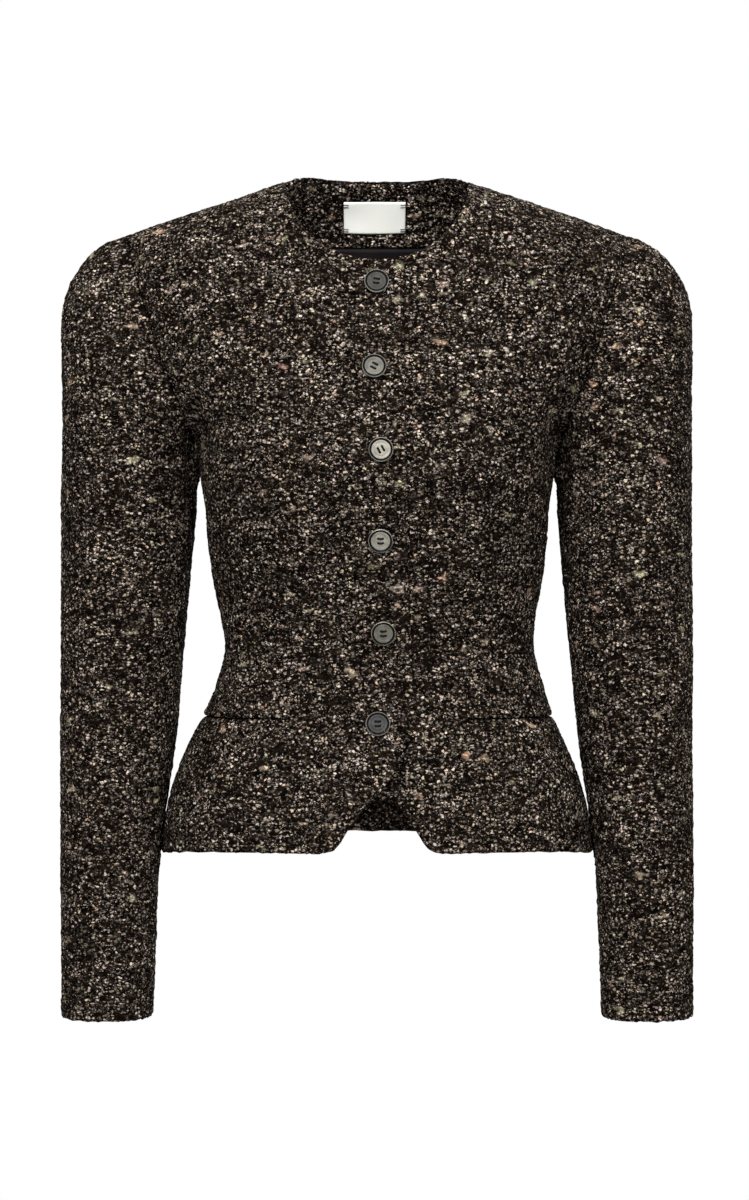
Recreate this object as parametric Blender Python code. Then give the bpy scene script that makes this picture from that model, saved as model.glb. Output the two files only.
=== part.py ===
"""Short tweed jacket with a flared peplum, filled out, its front towards -Y and Z up."""

import math

import bmesh
import bpy
import numpy as np
from mathutils import Matrix, Vector
from mathutils.bvhtree import BVHTree

MM = 0.001

# Thicknesses and gaps, in millimetres.
WALL = 2.2
SLEEVE_WALL = 2.0
SEAM = 0.3
ARMHOLE_GAP = 0.5
LAP_GAP = 1.6
FACING_WALL = 1.2
LINING_WALL = 1.0
LABEL_WALL = 0.8
INSIDE_GAP = 2.7
LABEL_GAP = 1.0

# The main levels, measured down from the side of the neck.
WAIST_SEAM = -424.0
HEM_MIDDLE = -526.0
HEM_SIDE_DROP = 7.5
HEM_SIDE_POWER = 6
SHOULDER_LEVEL = -42.0
UNDERARM = -232.0

# How round a section is: 2 is an ellipse, more is squarer.
BODY_POWER = 2.4
SLEEVE_POWER = 2.15

BUTTON_WIDTH = 19.0
BUTTON_ABOVE = 6.0
BUTTON_GAP = 0.15
BUTTON_HOLE = 1.9
BUTTON_HOLE_SPREAD = 1.75
BUTTON_HOLE_STEPS = 8
BUTTON_STEPS = 24


def table(names, rows):
    """A small table as named columns."""
    return dict(zip(names.split(), np.array(rows, float).T))


# The body's sections, from above the shoulders down to below the hem.
BODY = table("z half_width front back middle", (
    (60, 206, 80, 80, 0),
    (0, 206, 82, 84, 0),
    (-42, 205.7, 84, 90, 0),
    (-72, 205, 87, 95, 0),
    (-113, 195, 98, 98, 0),
    (-152, 179.3, 110, 98, 0),
    (-176, 164.7, 117, 97, 0),
    (-192, 155.5, 121, 96, 0),
    (-212, 147.5, 125, 95, 0),
    (-232, 141.3, 127, 94, 0),
    (-253, 137.2, 126, 93, 0),
    (-285, 135.2, 118, 90, 0),
    (-317, 131.6, 107, 85, 0.3),
    (-349, 125.4, 98, 80, 0.8),
    (-368, 123.4, 95, 78, 1.5),
    (-397, 129.6, 97, 83, 2),
    (-424, 139, 103, 91, 1),
    (-445, 149, 109, 99, 0),
    (-477, 161.5, 117, 112, 0),
    (-505, 167, 122, 120, 0),
    (-534, 169.5, 125, 125, 0),
    (-560, 170, 127, 127, 0),
))

# The shoulder line from the middle outwards, and how softly the body rounds over it.
SHOULDER = table("x z round", (
    (0, 33, 76),
    (30, 29, 76),
    (50, 20, 76),
    (65, 9, 75),
    (74, 1.2, 74),
    (87, -3.5, 71),
    (100, -8, 68),
    (129, -17.6, 60),
    (157, -27, 53),
    (186, -37.2, 46),
    (200, -42, 44),
    (215, -47, 44),
))
SHOULDER_END = 200.0
NECK_SIDE = 74.0

# The neck edge seen from in front, from the side of the neck to the middle.
NECK_POINTS = 200
NECK_FRONT = table("x z", (
    (74, 1.2),
    (73.3, -8),
    (70.8, -18),
    (66, -29),
    (57.5, -43),
    (47, -54),
    (38, -60.2),
    (27, -65.3),
    (14, -69),
    (0, -70.3),
    (-12, -69.4),
    (-24, -66.2),
))
NECK_BACK = table("x z", (
    (74, 1.2),
    (66, 6.5),
    (56, 9.6),
    (40, 9.9),
    (20, 9.6),
    (0, 9.5),
))

# The armhole from the shoulder end to the underarm. Each share is how far the edge
# stands from the side line, of the body's depth there.
ARMHOLE = table("z front_share back_share", (
    (-42, 0.321, 0.321),
    (-56, 0.39, 0.38),
    (-72, 0.44, 0.42),
    (-92, 0.47, 0.45),
    (-113, 0.485, 0.465),
    (-133, 0.475, 0.465),
    (-152, 0.446, 0.45),
    (-176, 0.397, 0.41),
    (-192, 0.341, 0.36),
    (-206, 0.275, 0.3),
    (-218, 0.2, 0.22),
    (-227, 0.115, 0.13),
    (-231, 0.045, 0.05),
    (-232, 0, 0),
))
BUST_LINE_START = -152.0
ARMHOLE_BEND = -218.0
ARMHOLE_SIDE_POINTS = 60
ARMHOLE_BEND_POINTS = 30

# The bust line down the front, from the armhole to the hem.
BUST_LINE = table("z x", (
    (-152, 168),
    (-170, 147),
    (-195, 122),
    (-240, 100),
    (-300, 83),
    (-368, 70),
    (-424, 69),
    (-470, 79),
    (-530, 96),
))

# The middle of the front, and how far each front reaches past it.
CENTRE = table("z x", (
    (-60, 0),
    (-150, 0),
    (-220, 2),
    (-290, 3),
    (-360, 3.5),
    (-430, 4),
    (-530, 4),
))
FRONT_EDGE = table("z past", (
    (-64, 21),
    (-250, 20),
    (-424, 18),
    (-446, 16.5),
    (-458, 13.5),
    (-466, 9),
    (-473.5, 3.5),
    (-484, -5.5),
    (-493, -14.7),
    (-501, -21),
    (-509.5, -26.5),
    (-518, -31.5),
    (-523, -36),
    (-525.6, -43),
    (-526, -54),
))
HEM_STARTS = -518.0
HEM_POINTS = 20
CORNER_LIFT_FROM = 30.0
CORNER_LIFT_TO = 62.0

# The sleeve's rings from the upper arm to the cuff.
SLEEVE = table("z inner outer middle_y half_depth", (
    (-262, 144.5, 252, 2, 62),
    (-317, 149, 252, 0, 60),
    (-381, 155, 251.5, -4, 56),
    (-445, 161, 251, -9, 52),
    (-509, 169.5, 250.6, -15, 48),
    (-541, 173, 250.4, -18, 46.5),
    (-605, 175.6, 250, -24, 43.5),
    (-661, 177.3, 249.5, -30, 41),
))
CAP_DROP_TOP = 66.0
CAP_DROP_UNDER = 18.0
CAP_SLOPE_TOP = 0.12
CAP_SLOPE_MORE = 0.5
CAP_ROWS = 6
SLEEVE_LEVELS = (-256, -262, -290, -320, -360, -400, -440, -480, -520, -560, -610, -661)
UNDER_FROM = 120.0
UNDER_TO = 240.0

# Button middles down the front, from the neck to below the waist seam.
BUTTONS = table("x z", (
    (-0.4, -89.0),
    (-2.2, -155.8),
    (2.9, -219.4),
    (2.6, -286.2),
    (4.8, -357.2),
    (0.6, -429.2),
))

# Half the section of a button: how far out, and how high above its back.
BUTTON_PROFILE = table("share height", (
    (0.62, 0.0),
    (0.95, 1.2),
    (1.0, 2.2),
    (0.93, 3.1),
    (0.8, 3.2),
    (0.66, 2.1),
    (0.56, 1.9),
))

# Where the label lies on the facing.
LABEL_WIDTH = 52.0
LABEL_TOP = -2.0
LABEL_HEIGHT = 25.5
LABEL_MIDDLE = -2.0
LABEL_COLUMNS = 6
LABEL_ROWS = 3

# The facing's lower edge and the lining's outer edge, from the back middle outwards
# and from the shoulder down.
FACING_EDGE = table("x z", (
    (0, -40.5),
    (30, -40.3),
    (60, -39),
    (85, -35.5),
    (104, -28.5),
    (117, -20.5),
    (122, -15.9),
))
LINING_SIDE = table("x z", (
    (122, -16.4),
    (148, -58),
    (155, -110),
    (145, -165),
    (130, -225),
    (121, -290),
    (114, -368),
    (128, -424),
    (149, -482),
))
FACING_STEPS = 7
FACING_ROWS = 6
LINING_STEPS = 7
LINING_ROWS = 18
LINING_BELOW = 0.8

# Rows of the nets: first beside the neck and the armhole, closer together near the
# shoulder, then down to the waist seam, then to the hem.
YOKE_ROWS = (0, 0.02, 0.07, 0.15, 0.27, 0.42, 0.6, 0.8, 1)
CHEST_ROWS = tuple(i / 14 for i in range(15))
LOWER_ROWS = tuple(i / 8 for i in range(9))
BACK_ROWS = (0, 0.012, 0.04, 0.085, 0.15, 0.22, 0.3, 0.4, 0.5, 0.62, 0.75, 0.88, 1)
BACK_CHEST = -200.0
FRONT_COLUMNS = 9
SIDE_COLUMNS = 6
BACK_NECK_COLUMNS = 4
BACK_SHOULDER_COLUMNS = 6

COLOURS = {
    "tweed": ((0.052, 0.041, 0.032), 0.95),
    "facing_tweed": ((0.052, 0.041, 0.032), 0.95),
    "lining_satin": ((0.012, 0.008, 0.012), 0.45),
    "label_satin": ((0.72, 0.71, 0.68), 0.5),
    "button_horn": ((0.13, 0.125, 0.11), 0.35),
}


def smooth(places, values, at):
    """A smooth curve through the values, never passing beyond them."""
    p, v = np.asarray(places, float), np.asarray(values, float)
    if p[0] > p[-1]:
        p, v = p[::-1], v[::-1]
    step = np.diff(p)
    slope = np.diff(v) / step
    inner = (slope[1:] * step[:-1] + slope[:-1] * step[1:]) / (p[2:] - p[:-2])
    inner = np.where(slope[1:] * slope[:-1] > 0, inner, 0)
    lean = np.concatenate([[slope[0]], inner, [slope[-1]]])
    at = np.clip(at, p[0], p[-1])
    i = np.clip(np.searchsorted(p, at, side="right") - 1, 0, len(p) - 2)
    t = (at - p[i]) / step[i]
    return (
        v[i] * (1 + 2 * t) * (1 - t) ** 2
        + v[i + 1] * t * t * (3 - 2 * t)
        + lean[i] * step[i] * t * (1 - t) ** 2
        + lean[i + 1] * step[i] * t * t * (t - 1)
    )


def body(name, z):
    """One of the body's sizes at a level."""
    return smooth(BODY["z"], BODY[name], z)


def round_over(x, z):
    """How much of the body's depth is left near the shoulder line, from 0 to 1."""
    top = smooth(SHOULDER["x"], SHOULDER["z"], np.abs(x))
    size = smooth(SHOULDER["x"], SHOULDER["round"], np.abs(x))
    down = np.clip((top - z) / size, 0, 1)
    return np.sqrt(1 - (1 - down) ** 2)


def on_body(turn, z):
    """The point of the body's outside at a turn from the front middle, and a level."""
    turn, z = np.asarray(turn, float), np.asarray(z, float)
    s, c = np.sin(turn), np.cos(turn)
    reach = (np.abs(s) ** BODY_POWER + np.abs(c) ** BODY_POWER) ** (-1 / BODY_POWER)
    x = body("half_width", z) * reach * s
    depth = np.where(c > 0, body("front", z), body("back", z))
    y = -depth * reach * c * round_over(x, z)
    return np.stack([x + body("middle", z), y, z + 0 * x], axis=-1)


def turn_at_x(x, z, back=False):
    """The turn of the body's point that is seen at x."""
    share = np.clip(np.abs(x - body("middle", z)) / body("half_width", z), 0, 1)
    deep = (1 - share**BODY_POWER) ** (1 / BODY_POWER)
    turn = np.arctan2(share, -deep if back else deep)
    return np.copysign(turn, x - body("middle", z))


def turn_at_share(share, back=False):
    """The turn of the body's point that stands that share of the depth from the side."""
    wide = (1 - share**BODY_POWER) ** (1 / BODY_POWER)
    return np.arctan2(wide, -share if back else share)


def shape_value(p, back):
    """Zero on the body's outside, more beyond it."""
    x, y, z = p[..., 0] - body("middle", p[..., 2]), p[..., 1], p[..., 2]
    share = np.clip(np.abs(x) / body("half_width", z), 0, 1)
    edge = (1 - share**BODY_POWER) ** (2 / BODY_POWER)
    depth = np.where(back, body("back", z), body("front", z))
    return (y / depth) ** 2 - edge * round_over(x, z) ** 2


def outward(points, turn):
    """The unit normals of the body's outside."""
    back = np.cos(turn) < 0
    step = 0.01
    grow = np.zeros_like(points)
    for axis in range(3):
        move = np.zeros(3)
        move[axis] = step
        grow[..., axis] = shape_value(points + move, back) - shape_value(points - move, back)
    length = np.linalg.norm(grow, axis=-1, keepdims=True)
    return grow / np.maximum(length, 1e-12)


def lengths_along(points):
    """The distance along a line of points, from its start."""
    gaps = np.linalg.norm(np.diff(points, axis=0), axis=1)
    return np.concatenate([[0], np.cumsum(gaps)])


def spaced(points, shares):
    """Points along a smooth line, at the given shares of its length."""
    points = np.asarray(points, float)
    along = lengths_along(points)
    at = np.asarray(shares) * along[-1]
    return np.stack([smooth(along, points[:, k], at) for k in range(points.shape[1])], axis=1)


def even(steps):
    """Shares from 0 to 1 in equal steps."""
    return np.linspace(0, 1, steps + 1)


def line_points(line):
    """The body's points along a line of turn and level pairs."""
    return on_body(line[:, 0], line[:, 1])


def shares_of(line):
    """How far along the line each of its points is."""
    along = lengths_along(line_points(line))
    return along / along[-1]


def patch(top, bottom, left, right):
    """A net of turn and level pairs between four edge lines."""
    left, right = left.copy(), right.copy()
    left[0], left[-1] = top[0], bottom[0]
    right[0], right[-1] = top[-1], bottom[-1]
    u = (shares_of(top) + shares_of(bottom))[None, :, None] / 2
    v = (shares_of(left) + shares_of(right))[:, None, None] / 2
    across = left[:, None] * (1 - u) + right[:, None] * u
    down = top[None] * (1 - v) + bottom[None] * v
    ends = (
        top[0] * (1 - u) * (1 - v) + top[-1] * u * (1 - v)
        + bottom[0] * (1 - u) * v + bottom[-1] * u * v
    )
    return across + down - ends


def neck_line(rows, shares, start=None, back=False):
    """The neck edge from the side of the neck to its end near the middle."""
    line = spaced(np.stack([rows["x"], rows["z"]], axis=1), even(NECK_POINTS))
    if start is not None:
        line = line[line[:, 0] > start]
    line = spaced(line, shares)
    turns = turn_at_x(line[:, 0], line[:, 1], back)
    return np.stack([turns, line[:, 1]], axis=1)


def shoulder_line(columns, back=False):
    """The shoulder seam from the side of the neck to its outer end."""
    x = np.linspace(NECK_SIDE, SHOULDER_END, columns + 1)
    z = smooth(SHOULDER["x"], SHOULDER["z"], x)
    return np.stack([turn_at_x(x, z, back), z], axis=1)


def armhole_line(shares, name, z_from=SHOULDER_LEVEL, z_to=UNDERARM):
    """The armhole edge between two levels, at shares of its length."""
    bend = UNDERARM + (ARMHOLE_BEND - UNDERARM) * np.linspace(1, 0, ARMHOLE_BEND_POINTS) ** 2
    z = np.append(np.linspace(SHOULDER_LEVEL, ARMHOLE_BEND, ARMHOLE_SIDE_POINTS), bend)
    z = np.unique(np.concatenate([[z_from], z[(z < z_from) & (z > z_to)], [z_to]]))[::-1]
    share = smooth(ARMHOLE["z"], ARMHOLE[name], z)
    line = np.stack([turn_at_share(share, name == "back_share"), z], axis=1)
    along = lengths_along(line_points(line))
    at = np.asarray(shares) * along[-1]
    return np.stack([np.interp(at, along, line[:, k]) for k in range(2)], axis=1)


def join(*lines):
    """Lines end to end, without the doubled points between them."""
    return np.concatenate([lines[0]] + [line[1:] for line in lines[1:]])


def bust_line(levels):
    """The seam over the bust, at the given levels."""
    x = smooth(BUST_LINE["z"], BUST_LINE["x"], levels)
    return np.stack([turn_at_x(x, levels), levels], axis=1)


def side_line(levels):
    """The side seam, at the given levels."""
    return np.stack([np.full(len(levels), math.pi / 2), levels], axis=1)


def levels_between(top, bottom, shares):
    """Levels at shares of the way down."""
    return top + (bottom - top) * np.asarray(shares)


def hem_level(turn):
    """The hem hangs a little lower at the sides."""
    return HEM_MIDDLE - HEM_SIDE_DROP * np.sin(turn) ** HEM_SIDE_POWER


def level_line(turns, z):
    """A line round the body at one level."""
    return np.stack([turns, np.full(len(turns), z)], axis=1)


def front_edge_x(z, side):
    """Where the front's free edge is; side is 1 for the left front, -1 for the right."""
    past = smooth(FRONT_EDGE["z"], FRONT_EDGE["past"], z)
    return smooth(CENTRE["z"], CENTRE["x"], z) - side * past


def mirrored_edge(levels, side):
    """The straight part of the front's edge, in the frame where the front lies at +X."""
    x = side * front_edge_x(levels, side)
    return np.stack([turn_at_x(x, levels), levels], axis=1)


def corner_points(side):
    """The front edge below the waist seam, in the frame where the front lies at +X."""
    rows = FRONT_EDGE["z"] <= WAIST_SEAM
    z = FRONT_EDGE["z"][rows]
    x = side * smooth(CENTRE["z"], CENTRE["x"], z) - FRONT_EDGE["past"][rows]
    return np.stack([x, z], axis=1)


def front_net(side):
    """The net of one front, in the frame where it lies at +X."""
    neck = neck_line(NECK_FRONT, YOKE_ROWS, -FRONT_EDGE["past"][0])
    edge = mirrored_edge(levels_between(neck[-1, 1], WAIST_SEAM, CHEST_ROWS), side)
    edge[0] = neck[-1]
    armhole = armhole_line(YOKE_ROWS, "front_share", z_to=BUST_LINE_START)
    bust = bust_line(levels_between(BUST_LINE_START, WAIST_SEAM, CHEST_ROWS))
    bust[0] = armhole[-1]
    waist = level_line(np.linspace(edge[-1, 0], bust[-1, 0], FRONT_COLUMNS + 1), WAIST_SEAM)
    upper = patch(shoulder_line(FRONT_COLUMNS), waist, join(neck, edge), join(armhole, bust))
    return np.concatenate([upper, front_lower_net(side, waist)[1:]])


def front_lower_net(side, waist):
    """The front's net below the waist seam, with the curved corner."""
    corner = corner_points(side)
    fall = spaced(corner[corner[:, 1] >= HEM_STARTS], LOWER_ROWS)
    hem_end = smooth(BUST_LINE["z"], BUST_LINE["x"], HEM_MIDDLE)
    hem_x = np.linspace(corner[-1, 0], hem_end, HEM_POINTS)
    hem_z = hem_level(turn_at_x(hem_x, HEM_MIDDLE))
    bend = corner[corner[:, 1] <= HEM_STARTS]
    run = np.concatenate([bend, np.stack([hem_x, hem_z], axis=1)[1:]])
    run = spaced(run, even(FRONT_COLUMNS))
    left = np.stack([turn_at_x(fall[:, 0], fall[:, 1]), fall[:, 1]], axis=1)
    bottom = np.stack([turn_at_x(run[:, 0], run[:, 1]), run[:, 1]], axis=1)
    right = bust_line(levels_between(WAIST_SEAM, run[-1, 1], LOWER_ROWS))
    left[0], left[-1], bottom[-1] = waist[0], bottom[0], right[-1]
    return patch(waist, bottom, left, right)


def side_front_net():
    """The side front from the armhole to the waist seam."""
    top = armhole_line(even(SIDE_COLUMNS), "front_share", z_from=BUST_LINE_START)
    left = bust_line(levels_between(BUST_LINE_START, WAIST_SEAM, CHEST_ROWS))
    right = side_line(levels_between(UNDERARM, WAIST_SEAM, CHEST_ROWS))
    left[0], right[0] = top[0], top[-1]
    turns = np.linspace(left[-1, 0], math.pi / 2, SIDE_COLUMNS + 1)
    return patch(top, level_line(turns, WAIST_SEAM), left, right)


def peplum_front_net():
    """The front side of the peplum, from the bust line's end to the side seam."""
    start = bust_line(np.array([WAIST_SEAM]))[0, 0]
    turns = np.linspace(start, math.pi / 2, SIDE_COLUMNS + 1)
    hem = bust_line(np.array([HEM_MIDDLE]))
    hem_turns = np.linspace(hem[0, 0], math.pi / 2, SIDE_COLUMNS + 1)
    bottom = np.stack([hem_turns, hem_level(hem_turns)], axis=1)
    left = bust_line(levels_between(WAIST_SEAM, bottom[0, 1], LOWER_ROWS))
    right = side_line(levels_between(WAIST_SEAM, bottom[-1, 1], LOWER_ROWS))
    top = level_line(turns, WAIST_SEAM)
    bottom[0] = left[-1]
    return patch(top, bottom, left, right)


def back_net():
    """The left back from its middle to the side seam."""
    neck = neck_line(NECK_BACK, even(BACK_NECK_COLUMNS), back=True)[::-1]
    top = join(neck, shoulder_line(BACK_SHOULDER_COLUMNS, back=True))
    yoke = middle_line(levels_between(neck[0, 1], BACK_CHEST, BACK_ROWS))
    spine = middle_line(levels_between(BACK_CHEST, WAIST_SEAM, CHEST_ROWS))
    armhole = armhole_line(BACK_ROWS, "back_share")
    seam = side_line(levels_between(UNDERARM, WAIST_SEAM, CHEST_ROWS))
    turns = math.pi - math.pi / 2 * even(len(top) - 1)
    return patch(top, level_line(turns, WAIST_SEAM), join(yoke, spine), join(armhole, seam))


def middle_line(levels):
    """A line down the middle of the back."""
    return np.stack([np.full(len(levels), math.pi), levels], axis=1)


def peplum_back_net():
    """The back of the peplum in one piece, from side seam to side seam."""
    turns = math.pi * 1.5 - math.pi * even(2 * (BACK_NECK_COLUMNS + BACK_SHOULDER_COLUMNS))
    rows = []
    for share in LOWER_ROWS:
        z = WAIST_SEAM + (hem_level(turns) - WAIST_SEAM) * share
        rows.append(np.stack([turns, z], axis=1))
    return np.array(rows)


def mirror(grid):
    """The same piece on the other side, its columns turned round to stay outward."""
    grid = grid[:, ::-1].copy()
    grid[..., 0] *= -1
    return grid


def walls(net, thick, lift=0.0, side=1):
    """Outer and inner points of a piece; lift moves it out by that much."""
    turn, z = side * net[..., 0], net[..., 1]
    if side < 0:
        turn, z = turn[:, ::-1], z[:, ::-1]
    points = on_body(turn, z)
    normal = outward(points, turn)
    lift = lift(points)[..., None] if callable(lift) else lift
    return points + normal * lift, points + normal * (lift - thick)


def lap_lift(points):
    """The right front lies on the left one, and eases back beside it."""
    away = np.clip((-points[..., 0] - CORNER_LIFT_FROM) / (CORNER_LIFT_TO - CORNER_LIFT_FROM), 0, 1)
    return (WALL + LAP_GAP) * (1 - away * away * (3 - 2 * away))


def draw_in(outer, inner, edges):
    """Moves the named edges in, which leaves the seam gap."""
    places = {
        "top": (np.s_[0], np.s_[1]),
        "bottom": (np.s_[-1], np.s_[-2]),
        "left": (np.s_[:, 0], np.s_[:, 1]),
        "right": (np.s_[:, -1], np.s_[:, -2]),
    }
    for edge in edges:
        here, there = places[edge]
        for grid in (outer, inner):
            way = grid[there] - grid[here]
            length = np.linalg.norm(way, axis=-1, keepdims=True)
            grid[here] = grid[here] + way / np.maximum(length, 1e-9) * SEAM / 2
    return outer, inner


def slab(name, outer, inner, colour):
    """A closed solid between two nets of points."""
    rows, columns = outer.shape[:2]
    count = rows * columns
    points = np.concatenate([outer.reshape(-1, 3), inner.reshape(-1, 3)]) * MM
    faces = []
    for r in range(rows - 1):
        for c in range(columns - 1):
            a = r * columns + c
            for ring in ((a, a + columns, a + columns + 1), (a, a + columns + 1, a + 1)):
                faces.append(ring)
                faces.append(tuple(count + i for i in reversed(ring)))
    border = [c for c in range(columns)]
    border += [r * columns + columns - 1 for r in range(1, rows)]
    border += [(rows - 1) * columns + c for c in range(columns - 2, -1, -1)]
    border += [r * columns for r in range(rows - 2, 0, -1)]
    for a, b in zip(border, border[1:] + border[:1]):
        faces.append((a, b, count + b, count + a))
    return add_mesh(name, points, faces, colour)


def add_mesh(name, points, faces, colour):
    """A mesh object of its own material, its faces turned outward."""
    mesh = bpy.data.meshes.new(name)
    mesh.from_pydata([tuple(p) for p in points], [], faces)
    work = bmesh.new()
    work.from_mesh(mesh)
    bmesh.ops.recalc_face_normals(work, faces=work.faces)
    if work.calc_volume(signed=True) < 0:
        bmesh.ops.reverse_faces(work, faces=work.faces)
    work.to_mesh(mesh)
    work.free()
    mesh.materials.append(cloth_material(name, colour))
    thing = bpy.data.objects.new(name, mesh)
    bpy.context.scene.collection.objects.link(thing)
    return thing


def cloth_material(name, colour):
    """The plain material of one piece."""
    rgb, rough = COLOURS[colour]
    material = bpy.data.materials.new(f"{name}_{colour}")
    material.use_nodes = True
    shader = material.node_tree.nodes["Principled BSDF"]
    shader.inputs["Base Color"].default_value = (*rgb, 1)
    shader.inputs["Roughness"].default_value = rough
    shader.inputs["Metallic"].default_value = 0
    return material


def panel(name, net, side, edges, lift=0.0):
    """One cut piece on one side of the body; edges are those sewn to a neighbour."""
    outer, inner = walls(net, WALL, lift, side)
    if side < 0:
        swap = {"left": "right", "right": "left"}
        edges = [swap.get(edge, edge) for edge in edges]
    outer, inner = draw_in(outer, inner, edges)
    slab(name, outer, inner, "tweed")


def body_pieces():
    """The body's nine cut pieces."""
    for word, side in (("left", 1), ("right", -1)):
        lift = lap_lift if side < 0 else 0.0
        panel(f"front_{word}", front_net(side), side, ["right", "top"], lift)
        panel(f"side_front_{word}", side_front_net(), side, ["left", "right", "bottom"])
        panel(f"peplum_front_{word}", peplum_front_net(), side, ["left", "right", "top"])
        panel(f"back_{word}", back_net(), side, ["top", "left", "right", "bottom"])
    panel("peplum_back", peplum_back_net(), 1, ["left", "right", "top"])


def armhole_ring():
    """The armhole's edge from the shoulder end forward, round and back to it, and the
    sleeve's turn for each point. It has the body's own points, so that the seam fits."""
    upper = armhole_line(YOKE_ROWS, "front_share", z_to=BUST_LINE_START)[:-1]
    lower = armhole_line(even(SIDE_COLUMNS), "front_share", z_from=BUST_LINE_START)
    front = np.delete(np.concatenate([upper, lower]), 1, axis=0)
    back = np.delete(armhole_line(BACK_ROWS, "back_share"), 1, axis=0)
    front_turns = math.pi * shares_of(front)
    back_turns = 2 * math.pi - math.pi * shares_of(back)
    ring = np.concatenate([line_points(front), line_points(back)[-2:0:-1]])
    return ring, np.concatenate([front_turns, back_turns[-2:0:-1]])


def sleeve_ring(z, turns):
    """One ring of the sleeve: turn 0 is outward, a quarter turn is forward."""
    row = {key: smooth(SLEEVE["z"], SLEEVE[key], z) for key in SLEEVE}
    s, c = np.sin(turns), np.cos(turns)
    reach = (np.abs(s) ** SLEEVE_POWER + np.abs(c) ** SLEEVE_POWER) ** (-1 / SLEEVE_POWER)
    half = (row["outer"] - row["inner"]) / 2
    x = (row["outer"] + row["inner"]) / 2 + half * reach * c
    y = row["middle_y"] - row["half_depth"] * reach * s
    return np.stack([x, y, np.full(len(turns), float(z))], axis=1)


def sleeve_rows():
    """Rows of points round the sleeve, from the armhole to the cuff."""
    ring, turns = armhole_ring()
    start = ring + np.array([ARMHOLE_GAP, 0, 0])
    arm = sleeve_ring(SLEEVE_LEVELS[0], turns)
    under = np.sin(turns / 2) ** 2
    drop = CAP_DROP_TOP + (CAP_DROP_UNDER - CAP_DROP_TOP) * under
    slope = CAP_SLOPE_TOP + CAP_SLOPE_MORE * under
    rows = []
    for i in range(CAP_ROWS + 1):
        out = math.sin(i / CAP_ROWS * math.pi / 2)
        fall = (1 - slope) * (1 - math.cos(i / CAP_ROWS * math.pi / 2)) + slope * out
        row = start + (arm - start) * out
        row[:, 2] = start[:, 2] - drop * fall
        rows.append(row)
    middle = (rows[-1] + arm) / 2
    rows.append(middle)
    rows += [sleeve_ring(z, turns) for z in SLEEVE_LEVELS]
    return np.array(rows)


def sleeve_walls():
    """Outer and inner points of the whole sleeve tube."""
    outer = sleeve_rows()
    around = np.roll(outer, -1, axis=1) - np.roll(outer, 1, axis=1)
    down = np.gradient(outer, axis=0)
    normal = np.cross(around, down)
    normal /= np.linalg.norm(normal, axis=-1, keepdims=True)
    return outer, outer - normal * SLEEVE_WALL


def sleeve_pieces():
    """Each sleeve's upper and under piece, cut from the tube at two turns."""
    outer, inner = sleeve_walls()
    turns = np.degrees(armhole_ring()[1])
    size = len(turns)
    first = int(np.abs(turns - UNDER_FROM).argmin())
    last = int(np.abs(turns - UNDER_TO).argmin())
    cuts = {
        "under_sleeve": range(first, last + 1),
        "upper_sleeve": range(last, size + first + 1),
    }
    for part, columns in cuts.items():
        pick = [c % size for c in columns]
        for word, side in (("left", 1), ("right", -1)):
            nets = [grid[:, pick].copy() for grid in (outer, inner)]
            if side < 0:
                nets = [mirror(grid) for grid in nets]
            nets = draw_in(*nets, ["left", "right"])
            slab(f"{part}_{word}", *nets, "tweed")


def whole(half):
    """A net from the left half: the right half is added beyond the back middle."""
    other = half[:, :0:-1].copy()
    other[..., 0] = 2 * math.pi - other[..., 0]
    return np.concatenate([other, half], axis=1)


def back_points(x, z):
    """Points of the back seen at x, as turns and levels."""
    x, z = np.asarray(x, float), np.asarray(z, float)
    return np.stack([turn_at_x(x, z, True), z], axis=1)


def facing_half_net():
    """The left half of the back neck facing."""
    top = neck_line(NECK_BACK, even(FACING_STEPS), back=True)[::-1]
    low = spaced(np.stack([FACING_EDGE["x"], FACING_EDGE["z"]], axis=1), even(FACING_STEPS))
    bottom = back_points(low[:, 0], low[:, 1])
    middle = middle_line(levels_between(top[0, 1], bottom[0, 1], even(FACING_ROWS)))
    x = NECK_SIDE + (FACING_EDGE["x"][-1] - NECK_SIDE) * even(FACING_ROWS)
    end = back_points(x, smooth(SHOULDER["x"], SHOULDER["z"], x))
    end[0], end[-1] = top[-1], bottom[-1]
    return patch(top, bottom, middle, end)


def lining_half_net():
    """The left half of the back lining, from the facing down to the turned-up hem."""
    low = spaced(np.stack([FACING_EDGE["x"], FACING_EDGE["z"]], axis=1), even(LINING_STEPS))
    top = back_points(low[:, 0], low[:, 1] - LINING_BELOW)
    line = spaced(np.stack([LINING_SIDE["x"], LINING_SIDE["z"]], axis=1), even(LINING_ROWS))
    side = back_points(line[:, 0], line[:, 1])
    side[0] = top[-1]
    middle = middle_line(levels_between(top[0, 1], side[-1, 1], even(LINING_ROWS)))
    bottom = level_line(np.linspace(math.pi, side[-1, 0], LINING_STEPS + 1), side[-1, 1])
    return patch(top, bottom, middle, side)


def label_net():
    """The label's net on the inside of the back."""
    x = LABEL_MIDDLE + LABEL_WIDTH * (even(LABEL_COLUMNS) - 0.5)
    rows = []
    for z in LABEL_TOP - LABEL_HEIGHT * even(LABEL_ROWS):
        turn = turn_at_x(x, z, True)
        rows.append(np.stack([np.where(turn < 0, turn + 2 * math.pi, turn), z + 0 * x], axis=1))
    return np.array(rows)[:, ::-1]


def inside_pieces():
    """The facing, the lining and the label, each clear of what it lies on."""
    under = -(WALL + INSIDE_GAP)
    slab("neck_facing", *walls(whole(facing_half_net()), FACING_WALL, under), "facing_tweed")
    slab("lining_back", *walls(whole(lining_half_net()), LINING_WALL, under), "lining_satin")
    over = under - FACING_WALL - LABEL_GAP
    slab("label", *walls(label_net(), LABEL_WALL, over), "label_satin")


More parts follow.
